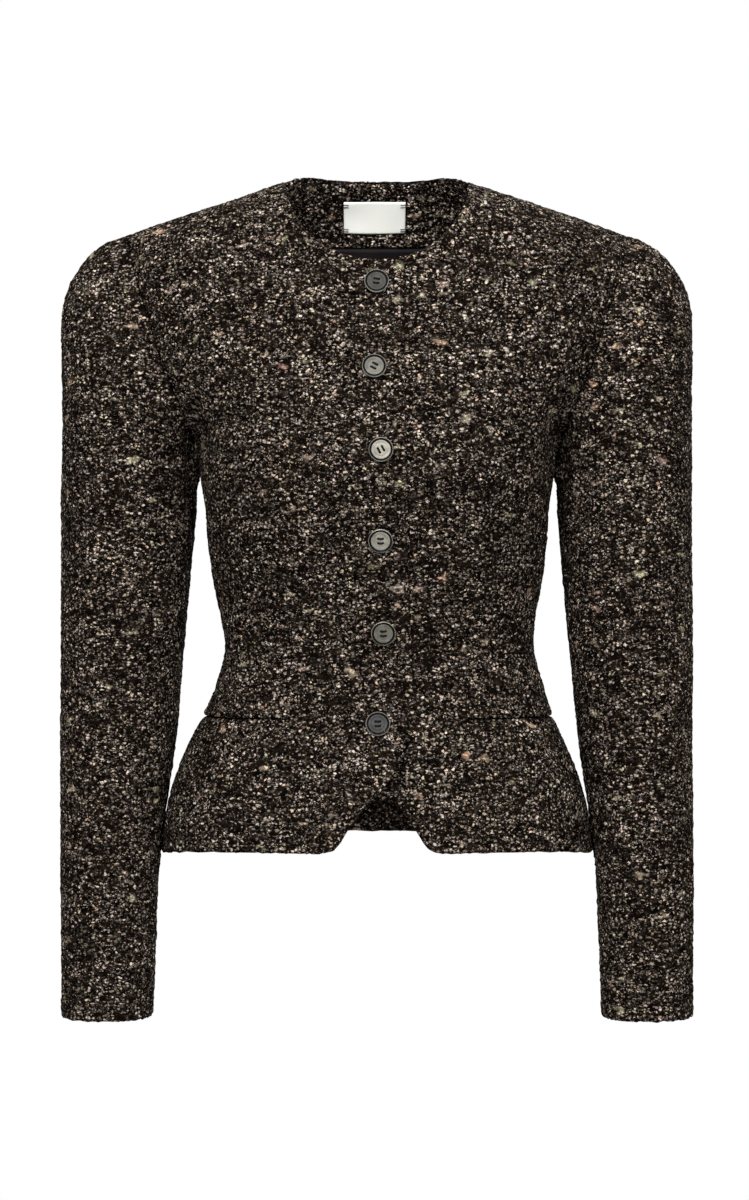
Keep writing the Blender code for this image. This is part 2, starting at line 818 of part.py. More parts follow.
def buttons():
    """Six buttons down the right front."""
    front = bpy.data.objects["front_right"].data
    front.calc_loop_triangles()
    tree = BVHTree.FromPolygons(
        [tuple(v.co) for v in front.vertices], [tuple(t.vertices) for t in front.loop_triangles]
    )
    for i, (x, z) in enumerate(zip(BUTTONS["x"], BUTTONS["z"])):
        button(f"button_{i + 1}", x, z, tree)


def button(name, x, z, cloth):
    """A round button with a raised rim and four holes, lying on the right front."""
    turn = turn_at_x(x, z)
    point = on_body(turn, z)
    normal = outward(point, turn)
    thing = lathe(name, BUTTON_PROFILE["share"] * BUTTON_WIDTH / 2, BUTTON_PROFILE["height"])
    for sx in (-1, 1):
        for sy in (-1, 1):
            bore(thing, sx * BUTTON_HOLE_SPREAD, sy * BUTTON_HOLE_SPREAD)
    place(thing, point + normal * (WALL + LAP_GAP + BUTTON_ABOVE), normal)
    seat(thing, normal, cloth)


def seat(thing, normal, cloth):
    """Lowers the button until it nearly touches the cloth."""
    down = Vector(-normal)
    drops = [cloth.ray_cast(v.co, down)[3] for v in thing.data.vertices]
    least = min(d for d in drops if d is not None)
    thing.data.transform(Matrix.Translation(down * (least - BUTTON_GAP * MM)))


def lathe(name, radii, heights):
    """A turned solid about its own Z axis, in millimetres, flat at both ends."""
    steps, rings = BUTTON_STEPS, len(radii)
    turns = 2 * math.pi * np.arange(steps) / steps
    points, faces = [], []
    for radius, height in zip(radii, heights):
        points += [(radius * math.cos(a), radius * math.sin(a), height) for a in turns]
    for r in range(rings - 1):
        for k in range(steps):
            n = (k + 1) % steps
            a, b = r * steps, (r + 1) * steps
            faces.append((a + k, a + n, b + n, b + k))
    faces.append(tuple(range(steps))[::-1])
    faces.append(tuple((rings - 1) * steps + k for k in range(steps)))
    return add_mesh(name, np.array(points), faces, "button_horn")


def bore(thing, x, y):
    """Cuts one thread hole through a button."""
    bpy.ops.mesh.primitive_cylinder_add(
        vertices=BUTTON_HOLE_STEPS,
        radius=BUTTON_HOLE / 2,
        depth=4 * BUTTON_HOLE,
        location=(x, y, BUTTON_HOLE),
    )
    cutter = bpy.context.object
    cut = thing.modifiers.new("hole", "BOOLEAN")
    cut.operation = "DIFFERENCE"
    cut.solver = "EXACT"
    cut.object = cutter
    bpy.context.view_layer.objects.active = thing
    bpy.ops.object.modifier_apply(modifier="hole")
    bpy.data.objects.remove(cutter)


def place(thing, base, normal):
    """Lays the button on the cloth, its own Z along the cloth's normal."""
    across = np.cross((0, 0, 1), normal)
    across /= np.linalg.norm(across)
    frame = np.stack([across, np.cross(normal, across), normal], axis=1)
    for vertex in thing.data.vertices:
        vertex.co = tuple((base + frame @ np.array(vertex.co)) * MM)


def main():
    """Makes every piece, in an empty scene."""
    for thing in list(bpy.data.objects):
        bpy.data.objects.remove(thing)
    body_pieces()
    sleeve_pieces()
    inside_pieces()
    buttons()


main()
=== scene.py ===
"""A short tweed jacket with a peplum: its cloth, lining, label, buttons and studio."""

import math

import bmesh
import bpy
import numpy as np
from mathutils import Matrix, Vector


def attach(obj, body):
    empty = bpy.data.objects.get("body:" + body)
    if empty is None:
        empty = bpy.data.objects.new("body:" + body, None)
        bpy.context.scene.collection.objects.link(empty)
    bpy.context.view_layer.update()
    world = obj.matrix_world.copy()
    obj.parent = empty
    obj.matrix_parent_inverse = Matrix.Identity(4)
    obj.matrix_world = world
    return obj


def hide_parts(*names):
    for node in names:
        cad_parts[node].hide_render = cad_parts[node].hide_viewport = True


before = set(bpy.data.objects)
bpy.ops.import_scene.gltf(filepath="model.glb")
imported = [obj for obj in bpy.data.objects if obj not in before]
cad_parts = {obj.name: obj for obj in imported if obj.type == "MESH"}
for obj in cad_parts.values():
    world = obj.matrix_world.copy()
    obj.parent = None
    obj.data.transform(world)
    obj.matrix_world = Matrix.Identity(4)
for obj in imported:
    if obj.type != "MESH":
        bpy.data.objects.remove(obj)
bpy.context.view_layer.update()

MM = 0.001


def table(names, rows):
    """A small table as named columns."""
    return dict(zip(names.split(), np.array(rows, float).T))


# ---- The cut, in millimetres, as in the solids ----

# Thicknesses, and the gaps between layers.
WALL = 2.2
SLEEVE_WALL = 2.0
FACING_WALL = 1.2
LINING_WALL = 1.0
LABEL_WALL = 0.8
ARMHOLE_GAP = 0.05
LAP_GAP = 1.6
INSIDE_GAP = 2.7
LABEL_GAP = 1.0
LINING_BELOW = 0.8

# The main levels, measured down from the side of the neck.
ARMHOLE_TOP = -42.0
BUST_LINE_START = -152.0
BACK_CHEST = -200.0
ARMHOLE_TURN = -218.0
UNDERARM = -232.0
ARM_STARTS = -256.0
WAIST_SEAM = -424.0
HEM_STARTS = -518.0
HEM_MIDDLE = -526.0
HEM_SIDE_DROP = 7.5
CUFF = -661.0

# How round a section is: 2 is an ellipse, more is squarer.
BODY_POWER = 2.4
SLEEVE_POWER = 2.15

# The body's sections, from above the shoulders down to below the hem.
BODY = table("z half_width front back middle", (
    (60, 206, 80, 80, 0), (0, 206, 82, 84, 0), (-42, 205.7, 84, 90, 0), (-72, 205, 87, 95, 0),
    (-113, 195, 98, 98, 0), (-152, 179.3, 110, 98, 0), (-176, 164.7, 117, 97, 0),
    (-192, 155.5, 121, 96, 0), (-212, 147.5, 125, 95, 0), (-232, 141.3, 127, 94, 0),
    (-253, 137.2, 126, 93, 0), (-285, 135.2, 118, 90, 0), (-317, 131.6, 107, 85, 0.3),
    (-349, 125.4, 98, 80, 0.8), (-368, 123.4, 95, 78, 1.5), (-397, 129.6, 97, 83, 2),
    (-424, 139, 103, 91, 1), (-445, 149, 109, 99, 0), (-477, 161.5, 117, 112, 0),
    (-505, 167, 122, 120, 0), (-534, 169.5, 125, 125, 0), (-560, 170, 127, 127, 0),
))

# The shoulder line from the middle outwards, and how softly the body rounds over it.
SHOULDER = table("x z round", (
    (0, 33, 76), (30, 29, 76), (50, 20, 76), (65, 9, 75), (74, 1.2, 74), (87, -3.5, 71),
    (100, -8, 68), (129, -17.6, 60), (157, -27, 53), (186, -37.2, 46), (200, -42, 44),
    (215, -47, 44),
))
SHOULDER_END = 200.0
NECK_SIDE = 74.0

# The neck edge seen from in front, from the side of the neck to the middle.
NECK_FRONT = table("x z", (
    (74, 1.2), (73.3, -8), (70.8, -18), (66, -29), (57.5, -43), (47, -54), (38, -60.2),
    (27, -65.3), (14, -69), (0, -70.3), (-12, -69.4), (-24, -66.2),
))
NECK_BACK = table("x z", (
    (74, 1.2), (66, 6.5), (56, 9.6), (40, 9.9), (20, 9.6), (0, 9.5),
))

# The armhole from the shoulder end to the underarm. Each share is how far the edge
# stands from the side line, of the body's depth there.
ARMHOLE = table("z front_share back_share", (
    (-42, 0.321, 0.321), (-56, 0.39, 0.38), (-72, 0.44, 0.42), (-92, 0.47, 0.45),
    (-113, 0.485, 0.465), (-133, 0.475, 0.465), (-152, 0.446, 0.45), (-176, 0.397, 0.41),
    (-192, 0.341, 0.36), (-206, 0.275, 0.3), (-218, 0.2, 0.22), (-227, 0.115, 0.13),
    (-231, 0.045, 0.05), (-232, 0, 0),
))

# The bust line down the front, from the armhole to the hem.
BUST_LINE = table("z x", (
    (-152, 168), (-170, 147), (-195, 122), (-240, 100), (-300, 83), (-368, 70), (-424, 69),
    (-470, 79), (-530, 96),
))

# The middle of the front, and how far each front reaches past it.
CENTRE = table("z x", (
    (-60, 0), (-150, 0), (-220, 2), (-290, 3), (-360, 3.5), (-430, 4), (-530, 4),
))
FRONT_EDGE = table("z past", (
    (-64, 21), (-250, 20), (-424, 18), (-446, 16.5), (-458, 13.5), (-466, 9), (-473.5, 3.5),
    (-484, -5.5), (-493, -14.7), (-501, -21), (-509.5, -26.5), (-518, -31.5), (-523, -36),
    (-525.6, -43), (-526, -54),
))

# The right front lies on the left one out to here, and eases back beside it. Below the
# last button its edge stands off.
LAP_FLAT_TO = 30.0
LAP_EASED_BY = 62.0
STAND_FROM = 395.0
STAND_OVER = 80.0
STAND_OFF = 5.0

# The sleeve's rings from the upper arm to the cuff.
SLEEVE = table("z inner outer middle_y half_depth", (
    (-262, 144.5, 252, 2, 62), (-317, 149, 252, 0, 60), (-381, 155, 251.5, -4, 56),
    (-445, 161, 251, -9, 52), (-509, 169.5, 250.6, -15, 48), (-541, 173, 250.4, -18, 46.5),
    (-605, 175.6, 250, -24, 43.5), (-661, 177.3, 249.5, -30, 41),
))
CAP_DROP_TOP = 66.0
CAP_DROP_UNDER = 18.0
CAP_SLOPE_TOP = 0.12
CAP_SLOPE_MORE = 0.5
UNDER_FROM = 120.0
UNDER_TO = 240.0

# Button middles down the front, from the neck to below the waist seam.
BUTTONS = table("x z", (
    (-0.4, -89.0), (-2.2, -155.8), (2.9, -219.4), (2.6, -286.2), (4.8, -357.2), (0.6, -429.2),
))
BUTTON_HOLE = 1.9
BUTTON_HOLE_SPREAD = 1.75

# Where the label lies on the facing.
LABEL_WIDTH = 52.0
LABEL_TOP = -2.0
LABEL_HEIGHT = 25.5
LABEL_MIDDLE = -2.0

# The facing's lower edge and the lining's outer edge, from the back middle outwards
# and from the shoulder down.
FACING_EDGE = table("x z", (
    (0, -40.5), (30, -40.3), (60, -39), (85, -35.5), (104, -28.5), (117, -20.5), (122, -15.9),
))
LINING_SIDE = table("x z", (
    (122, -16.4), (148, -58), (155, -110), (145, -165), (130, -225), (121, -290), (114, -368),
    (128, -424), (149, -482),
))


# ---- The garment's form ----

def smooth(places, values, at):
    """A smooth curve through the values, never passing beyond them."""
    p, v = np.asarray(places, float), np.asarray(values, float)
    if p[0] > p[-1]:
        p, v = p[::-1], v[::-1]
    step = np.diff(p)
    slope = np.diff(v) / step
    inner = (slope[1:] * step[:-1] + slope[:-1] * step[1:]) / (p[2:] - p[:-2])
    inner = np.where(slope[1:] * slope[:-1] > 0, inner, 0)
    lean = np.concatenate([[slope[0]], inner, [slope[-1]]])
    at = np.clip(at, p[0], p[-1])
    i = np.clip(np.searchsorted(p, at, side="right") - 1, 0, len(p) - 2)
    t = (at - p[i]) / step[i]
    return (
        v[i] * (1 + 2 * t) * (1 - t) ** 2
        + v[i + 1] * t * t * (3 - 2 * t)
        + lean[i] * step[i] * t * (1 - t) ** 2
        + lean[i + 1] * step[i] * t * t * (t - 1)
    )


def read(rows, name, at):
    """One column of a table, read smoothly at places in its first column."""
    return smooth(next(iter(rows.values())), rows[name], at)


def body(name, z):
    """One of the body's sizes at a level."""
    return read(BODY, name, z)


def eased(share):
    """A share from 0 to 1 that starts and ends gently."""
    return share * share * (3 - 2 * share)


def unit(ways, least=0.0):
    """The same ways, each of length 1."""
    return ways / np.maximum(np.linalg.norm(ways, axis=-1, keepdims=True), least)


def reach(s, c, power):
    """How far a rounded section reaches at a turn with that sine and cosine."""
    return (np.abs(s) ** power + np.abs(c) ** power) ** (-1 / power)


def round_over(x, z):
    """How much of the body's depth is left near the shoulder line, from 0 to 1."""
    top, size = (read(SHOULDER, name, np.abs(x)) for name in ("z", "round"))
    down = np.clip((top - z) / size, 0, 1)
    return np.sqrt(1 - (1 - down) ** 2)


def on_body(turn, z):
    """The point of the body's outside at a turn from the front middle, and a level."""
    turn, z = np.asarray(turn, float), np.asarray(z, float)
    s, c = np.sin(turn), np.cos(turn)
    out = reach(s, c, BODY_POWER)
    x = body("half_width", z) * out * s
    depth = np.where(c > 0, body("front", z), body("back", z))
    y = -depth * out * c * round_over(x, z)
    return np.stack([x + body("middle", z), y, z + 0 * x], axis=-1)


def turn_at_x(x, z, back=False):
    """The turn of the body's point that is seen at x."""
    share = np.clip(np.abs(x - body("middle", z)) / body("half_width", z), 0, 1)
    deep = (1 - share**BODY_POWER) ** (1 / BODY_POWER)
    turn = np.arctan2(share, -deep if back else deep)
    return np.copysign(turn, x - body("middle", z))


def turn_at_share(share, back=False):
    """The turn of the body's point that stands that share of the depth from the side."""
    wide = (1 - share**BODY_POWER) ** (1 / BODY_POWER)
    return np.arctan2(wide, -share if back else share)


def shape_value(p, back):
    """Zero on the body's outside, more beyond it."""
    x, y, z = p[..., 0] - body("middle", p[..., 2]), p[..., 1], p[..., 2]
    share = np.clip(np.abs(x) / body("half_width", z), 0, 1)
    edge = (1 - share**BODY_POWER) ** (2 / BODY_POWER)
    depth = np.where(back, body("back", z), body("front", z))
    return (y / depth) ** 2 - edge * round_over(x, z) ** 2


def outward(points, turn, step=0.01):
    """The unit normals of the body's outside."""
    back = np.cos(turn) < 0
    grow = np.zeros_like(points)
    for axis in range(3):
        move = np.zeros(3)
        move[axis] = step
        grow[..., axis] = shape_value(points + move, back) - shape_value(points - move, back)
    return unit(grow, 1e-12)


def lengths(points):
    """How far along a line each of its points is."""
    gaps = np.linalg.norm(np.diff(points, axis=0), axis=1)
    return np.concatenate([[0], np.cumsum(gaps)])


def spaced(points, shares):
    """Points along a smooth line, at the given shares of its length."""
    points = np.asarray(points, float)
    along = lengths(points)
    at = np.asarray(shares) * along[-1]
    return np.stack([smooth(along, points[:, k], at) for k in range(points.shape[1])], axis=1)


def even(steps):
    """Shares from 0 to 1, evenly apart."""
    return np.linspace(0, 1, steps + 1)


def close_to_start(count):
    """Shares from 0 to 1, much closer together at the start, where the shoulder turns."""
    return even(count) ** 1.9


def levels_between(top, bottom, shares):
    return top + (bottom - top) * np.asarray(shares)


# A line on the body is a row of turn and level pairs, and a net is a grid of them.

def points_of(line):
    """A line's points on the body."""
    return on_body(line[:, 0], line[:, 1])


def shares_of(line):
    """How far along a line each of its points is, from 0 to 1."""
    along = lengths(points_of(line))
    return along / along[-1]


def patch(top, bottom, left, right):
    """A net of turn and level pairs between four edge lines."""
    left, right = left.copy(), right.copy()
    left[0], left[-1] = top[0], bottom[0]
    right[0], right[-1] = top[-1], bottom[-1]
    u = (shares_of(top) + shares_of(bottom))[None, :, None] / 2
    v = (shares_of(left) + shares_of(right))[:, None, None] / 2
    across = left[:, None] * (1 - u) + right[:, None] * u
    down = top[None] * (1 - v) + bottom[None] * v
    ends = (
        top[0] * (1 - u) * (1 - v) + top[-1] * u * (1 - v)
        + bottom[0] * (1 - u) * v + bottom[-1] * u * v
    )
    return across + down - ends


def join(*lines):
    """Lines end to end, without the doubled points between them."""
    return np.concatenate([lines[0]] + [line[1:] for line in lines[1:]])


def upright(turn, levels):
    """A line down the body at one turn."""
    return np.stack([np.full(len(levels), turn), levels], axis=1)


def level_line(turns, z):
    """A line round the body at one level."""
    return np.stack([turns, np.full(len(turns), z)], axis=1)


def seen_at(x, z, back=False):
    """The line on the body that is seen at these places from in front or behind."""
    return np.stack([turn_at_x(x, z, back), z], axis=1)


def outline(rows):
    """A table's places seen from in front, as points."""
    return np.stack([rows["x"], rows["z"]], axis=1)


def neck_line(rows, shares, start=None, back=False):
    """The neck edge from the side of the neck to its end near the middle."""
    line = spaced(outline(rows), even(199))
    if start is not None:
        line = line[line[:, 0] > start]
    return seen_at(*spaced(line, shares).T, back)


def shoulder_line(columns, back=False):
    """The shoulder seam from the side of the neck to its outer end."""
    x = np.linspace(NECK_SIDE, SHOULDER_END, columns + 1)
    return seen_at(x, read(SHOULDER, "z", x), back)


def armhole_line(shares, name, z_from=ARMHOLE_TOP, z_to=UNDERARM):
    """The armhole edge between two levels, at shares of its length."""
    low = UNDERARM + (ARMHOLE_TURN - UNDERARM) * np.linspace(1, 0, 30) ** 2
    z = np.concatenate([np.linspace(ARMHOLE_TOP, ARMHOLE_TURN, 60), low])
    z = np.unique(np.concatenate([[z_from], z[(z < z_from) & (z > z_to)], [z_to]]))[::-1]
    turn = turn_at_share(read(ARMHOLE, name, z), name == "back_share")
    line = np.stack([turn, z], axis=1)
    along = lengths(points_of(line))
    at = np.asarray(shares) * along[-1]
    return np.stack([np.interp(at, along, line[:, k]) for k in range(2)], axis=1)


def bust_line(levels):
    return seen_at(read(BUST_LINE, "x", levels), levels)


def side_line(levels):
    return upright(math.pi / 2, levels)


def middle_line(levels):
    """A line down the middle of the back."""
    return upright(math.pi, levels)


def hem_level(turn):
    """The hem hangs a little lower at the sides."""
    return HEM_MIDDLE - HEM_SIDE_DROP * np.sin(turn) ** 6


def front_edge(levels, side):
    """The straight part of a front's edge, in the frame where that front lies at +X."""
    return seen_at(side * read(CENTRE, "x", levels) - read(FRONT_EDGE, "past", levels), levels)


def corner_points(side):
    """The front edge below the waist seam, in the frame where the front lies at +X."""
    rows = FRONT_EDGE["z"] <= WAIST_SEAM
    z = FRONT_EDGE["z"][rows]
    return np.stack([side * read(CENTRE, "x", z) - FRONT_EDGE["past"][rows], z], axis=1)


def mirror(grid):
    """The same net on the other side, its columns turned round to stay outward."""
    grid = grid[:, ::-1].copy()
    grid[..., 0] *= -1
    return grid


def lap_lift(points):
    """How far the right front lies out over the left one."""
    away = np.clip((-points[..., 0] - LAP_FLAT_TO) / (LAP_EASED_BY - LAP_FLAT_TO), 0, 1)
    low = np.clip((-points[..., 2] - STAND_FROM) / STAND_OVER, 0, 1)
    return (WALL + LAP_GAP + STAND_OFF * eased(low)) * (1 - eased(away))


# ---- The pieces' nets ----

# How fine each net is: rows and columns, in steps of the plain inner side.
COARSE = 4
YOKE_COUNT = 108
CHEST_COUNT = 188
LOWER_COUNT = 60
BACK_COUNT = 148
FRONT_COLUMNS = 84
SIDE_COLUMNS = 44
BACK_NECK_COLUMNS = 40
BACK_SHOULDER_COLUMNS = 60
PEPLUM_BACK_COLUMNS = 300
PEPLUM_SIDE_COLUMNS = 56
UPPER_COLUMNS = 124
UNDER_COLUMNS = 64
CAP_COUNT = 48
ARM_TOP_COUNT = 64
ARM_COUNT = 212
FACING_COLUMNS = 80
FACING_ROWS = 36
LINING_COLUMNS = 60
LINING_ROWS = 120
LABEL_COLUMNS = 56
LABEL_ROWS = 28


def front_net(side):
    """One front, in the frame where it lies at +X."""
    rows = close_to_start(YOKE_COUNT)
    neck = neck_line(NECK_FRONT, rows, -FRONT_EDGE["past"][0])
    edge = front_edge(levels_between(neck[-1, 1], WAIST_SEAM, even(CHEST_COUNT)), side)
    edge[0] = neck[-1]
    armhole = armhole_line(rows, "front_share", z_to=BUST_LINE_START)
    bust = bust_line(levels_between(BUST_LINE_START, WAIST_SEAM, even(CHEST_COUNT)))
    bust[0] = armhole[-1]
    waist = level_line(np.linspace(edge[-1, 0], bust[-1, 0], FRONT_COLUMNS + 1), WAIST_SEAM)
    upper = patch(shoulder_line(FRONT_COLUMNS), waist, join(neck, edge), join(armhole, bust))
    return np.concatenate([upper, front_lower_net(side, waist)[1:]])


def front_lower_net(side, waist):
    """The front's net below the waist seam, with the curved corner."""
    corner = corner_points(side)
    rows = even(LOWER_COUNT)
    left = seen_at(*spaced(corner[corner[:, 1] >= HEM_STARTS], rows).T)
    hem_x = np.linspace(corner[-1, 0], read(BUST_LINE, "x", HEM_MIDDLE), 60)
    hem_z = hem_level(turn_at_x(hem_x, HEM_MIDDLE))
    bend = corner[corner[:, 1] <= HEM_STARTS]
    run = np.concatenate([bend, np.stack([hem_x, hem_z], axis=1)[1:]])
    bottom = seen_at(*spaced(run, even(FRONT_COLUMNS)).T)
    right = bust_line(levels_between(WAIST_SEAM, bottom[-1, 1], rows))
    left[0], left[-1], bottom[-1] = waist[0], bottom[0], right[-1]
    return patch(waist, bottom, left, right)


def side_front_net():
    rows = even(CHEST_COUNT)
    top = armhole_line(even(SIDE_COLUMNS), "front_share", z_from=BUST_LINE_START)
    left = bust_line(levels_between(BUST_LINE_START, WAIST_SEAM, rows))
    right = side_line(levels_between(UNDERARM, WAIST_SEAM, rows))
    left[0], right[0] = top[0], top[-1]
    turns = np.linspace(left[-1, 0], math.pi / 2, SIDE_COLUMNS + 1)
    return patch(top, level_line(turns, WAIST_SEAM), left, right)


def peplum_front_net():
    rows = even(LOWER_COUNT)
    start = bust_line(np.array([WAIST_SEAM]))[0, 0]
    turns = np.linspace(start, math.pi / 2, PEPLUM_SIDE_COLUMNS + 1)
    hem = bust_line(np.array([HEM_MIDDLE]))
    hem_turns = np.linspace(hem[0, 0], math.pi / 2, PEPLUM_SIDE_COLUMNS + 1)
    bottom = np.stack([hem_turns, hem_level(hem_turns)], axis=1)
    left = bust_line(levels_between(WAIST_SEAM, bottom[0, 1], rows))
    right = side_line(levels_between(WAIST_SEAM, bottom[-1, 1], rows))
    bottom[0] = left[-1]
    return patch(level_line(turns, WAIST_SEAM), bottom, left, right)


def back_net():
    """The left back from its middle to the side seam."""
    rows, lower = close_to_start(BACK_COUNT), even(CHEST_COUNT)
    neck = neck_line(NECK_BACK, even(BACK_NECK_COLUMNS), back=True)[::-1]
    top = join(neck, shoulder_line(BACK_SHOULDER_COLUMNS, back=True))
    yoke = middle_line(levels_between(neck[0, 1], BACK_CHEST, rows))
    spine = middle_line(levels_between(BACK_CHEST, WAIST_SEAM, lower))
    armhole = armhole_line(rows, "back_share")
    seam = side_line(levels_between(UNDERARM, WAIST_SEAM, lower))
    turns = math.pi - math.pi / 2 * even(len(top) - 1)
    return patch(top, level_line(turns, WAIST_SEAM), join(yoke, spine), join(armhole, seam))


def peplum_back_net():
    turns = math.pi * 1.5 - math.pi * even(PEPLUM_BACK_COLUMNS)
    share = even(LOWER_COUNT)[:, None]
    z = WAIST_SEAM + (hem_level(turns) - WAIST_SEAM) * share
    return np.stack([np.broadcast_to(turns, z.shape), z], axis=-1)


def whole(half):
    """A net from the left half: the right half is added beyond the back middle."""
    other = half[:, :0:-1].copy()
    other[..., 0] = 2 * math.pi - other[..., 0]
    return np.concatenate([other, half], axis=1)


def facing_net():
    steps, rows = even(FACING_COLUMNS), even(FACING_ROWS)
    top = neck_line(NECK_BACK, steps, back=True)[::-1]
    bottom = seen_at(*spaced(outline(FACING_EDGE), steps).T, True)
    middle = middle_line(levels_between(top[0, 1], bottom[0, 1], rows))
    x = NECK_SIDE + (FACING_EDGE["x"][-1] - NECK_SIDE) * rows
    end = seen_at(x, read(SHOULDER, "z", x), True)
    end[0], end[-1] = top[-1], bottom[-1]
    return whole(patch(top, bottom, middle, end))


def lining_net():
    steps, rows = even(LINING_COLUMNS), even(LINING_ROWS)
    x, z = spaced(outline(FACING_EDGE), steps).T
    top = seen_at(x, z - LINING_BELOW, True)
    side = seen_at(*spaced(outline(LINING_SIDE), rows).T, True)
    side[0] = top[-1]
    middle = middle_line(levels_between(top[0, 1], side[-1, 1], rows))
    bottom = level_line(np.linspace(math.pi, side[-1, 0], LINING_COLUMNS + 1), side[-1, 1])
    return whole(patch(top, bottom, middle, side))


def label_net():
    x = LABEL_MIDDLE + LABEL_WIDTH * (even(LABEL_COLUMNS) - 0.5)
    rows = []
    for z in LABEL_TOP - LABEL_HEIGHT * even(LABEL_ROWS):
        turn = turn_at_x(x, z, True)
        rows.append(np.stack([np.where(turn < 0, turn + 2 * math.pi, turn), z + 0 * x], axis=1))
    return np.array(rows)[:, ::-1]


def sleeve_ring(z, turns):
    """One ring of the sleeve: turn 0 is outward, a quarter turn is forward."""
    row = {key: read(SLEEVE, key, z) for key in SLEEVE}
    s, c = np.sin(turns), np.cos(turns)
    out = reach(s, c, SLEEVE_POWER)
    half = (row["outer"] - row["inner"]) / 2
    x = (row["outer"] + row["inner"]) / 2 + half * out * c
    y = row["middle_y"] - row["half_depth"] * out * s
    return np.stack([x, y, np.full(len(turns), float(z))], axis=1)


def armhole_points(turns):
    """The armhole's edge where each of the sleeve's turns meets it, and the ways out of it."""
    half = turns % (2 * math.pi) / math.pi
    points, ways = np.zeros((len(turns), 3)), np.zeros((len(turns), 3))
    for name, pick in (("front_share", half <= 1), ("back_share", half > 1)):
        share = half[pick] if name == "front_share" else 2 - half[pick]
        order = np.argsort(share)
        line = armhole_line(share[order], name)
        edge = points_of(line)
        back = np.argsort(order)
        points[pick] = edge[back]
        ways[pick] = outward(edge, line[:, 0])[back]
    return points, ways


def sleeve_net(turns):
    """Rows of points down the sleeve, from the armhole to the cuff."""
    start = armhole_points(turns)[0] + np.array([ARMHOLE_GAP, 0, 0])
    arm = sleeve_ring(ARM_STARTS, turns)
    under = np.sin(turns / 2) ** 2
    drop = CAP_DROP_TOP + (CAP_DROP_UNDER - CAP_DROP_TOP) * under
    slope = CAP_SLOPE_TOP + CAP_SLOPE_MORE * under
    rows = []
    for angle in math.pi / 2 * even(CAP_COUNT):
        out = math.sin(angle)
        row = start + (arm - start) * out
        row[:, 2] = start[:, 2] - drop * ((1 - slope) * (1 - math.cos(angle)) + slope * out)
        rows.append(row)
    rows += [rows[CAP_COUNT] * (1 - t) + arm * t for t in even(ARM_TOP_COUNT)[1:]]
    rows += [sleeve_ring(z, turns) for z in levels_between(ARM_STARTS, CUFF, even(ARM_COUNT))[1:]]
    return np.array(rows)


# ---- The cloth's surface ----

# How the cloth in front of each armpit sinks, and the peplum's sides swing out.
HOLLOW_AT = (141.0, -205.0)
HOLLOW_SIZE = (10.0, 22.0)
HOLLOW_DEPTH = 28.0
HOLLOW_FRONT = 26.0
FLARE = 2.4
FLARE_FROM = -462.0
FLARE_OVER = 68.0

# The yarn's loops and clumps, the slow waves, the turned edges, the loose yarn on them, and
# how wide a strip dips beside a seam.
LOOP, LOOP_HEIGHT = 2.7, 0.8
CLUMP, CLUMP_HEIGHT = 7.0, 0.3
WAVE, WAVE_HEIGHT = 62.0, 0.9
EDGE_ROLL = 1.2
RAGGED, RAGGED_HEIGHT = 2.3, 0.8
SEAM_REACH = 2.2

# Each kind of seam: its half gap, how far it runs under, how deep it lies, how round it turns.
OVER = (0.05, 1.3, 0.06, 0.15)
UNDER = (0.05, -1.1, 0.06, 0.15)
WAIST_OVER = (0.15, 1.3, 0.9, 0.6)
WAIST_UNDER = (0.15, -1.1, 0.9, 0.6)

# Edges that stand proud or lie back: how far, and how wide a strip.
BODICE_PROUD = {"bottom": (0.8, 5.0)}
PEPLUM_SET_BACK = {"top": (-1.3, 5.0)}
SLEEVE_HEAD = {"top": (0.2, 12.0)}
FACING_ROLLED = {"top": (-(INSIDE_GAP - 0.25), 6.0)}

# How far from its head a sleeve still takes the body's ways out, and from how alike they are.
HEAD_REACH = 16.0
HEAD_ALIKE = 0.4

# The random numbers' count, and how the cells are shared out over them.
NUMBERS = 4096
SPREAD = (73856093, 19349663, 83492791)
SEED_STEP = 17.3

# Each edge's own row or column, and the one beside it.
PLACES = {
    "top": (np.s_[0], np.s_[1]), "bottom": (np.s_[-1], np.s_[-2]),
    "left": (np.s_[:, 0], np.s_[:, 1]), "right": (np.s_[:, -1], np.s_[:, -2]),
}


def lattice(points, size, seed):
    """Smooth random numbers from -1 to 1, in cells of that size."""
    place = points / size + seed * SEED_STEP
    cell = np.floor(place).astype(np.int64)
    f = eased(place - cell)
    numbers = np.random.RandomState(seed).rand(NUMBERS) * 2 - 1
    total = np.zeros(points.shape[:-1])
    for corner in np.ndindex(2, 2, 2):
        key, weight = 0, 1.0
        for k, step in enumerate(corner):
            key = key ^ (cell[..., k] + step) * SPREAD[k]
            weight = weight * (f[..., k] if step else 1 - f[..., k])
        total += weight * numbers[key & (NUMBERS - 1)]
    return total


def nap(points):
    """How high the loops of the yarn stand at each point."""
    loops = lattice(points, LOOP, seed=3) * LOOP_HEIGHT
    return loops + lattice(points, CLUMP, seed=5) * CLUMP_HEIGHT


def soft_wave(points):
    """The cloth's slow unevenness, the same on both sides of a seam."""
    return lattice(points, WAVE, seed=7) * WAVE_HEIGHT


def along_edge(net, edge):
    """How far each point of a net is from one of its edges."""
    axis = 0 if edge in ("top", "bottom") else 1
    gaps = np.linalg.norm(np.diff(net, axis=axis), axis=-1)
    start = np.zeros_like(np.take(gaps, [0], axis=axis))
    if edge in ("top", "left"):
        return np.concatenate([start, np.cumsum(gaps, axis=axis)], axis=axis)
    flipped = np.cumsum(np.flip(gaps, axis), axis=axis)
    return np.flip(np.concatenate([start, flipped], axis=axis), axis)


def roll(distance, size):
    """How far the surface turns in beside an edge."""
    near = np.clip(1 - distance / size, 0, 1)
    return size * (1 - np.sqrt(1 - near * near))


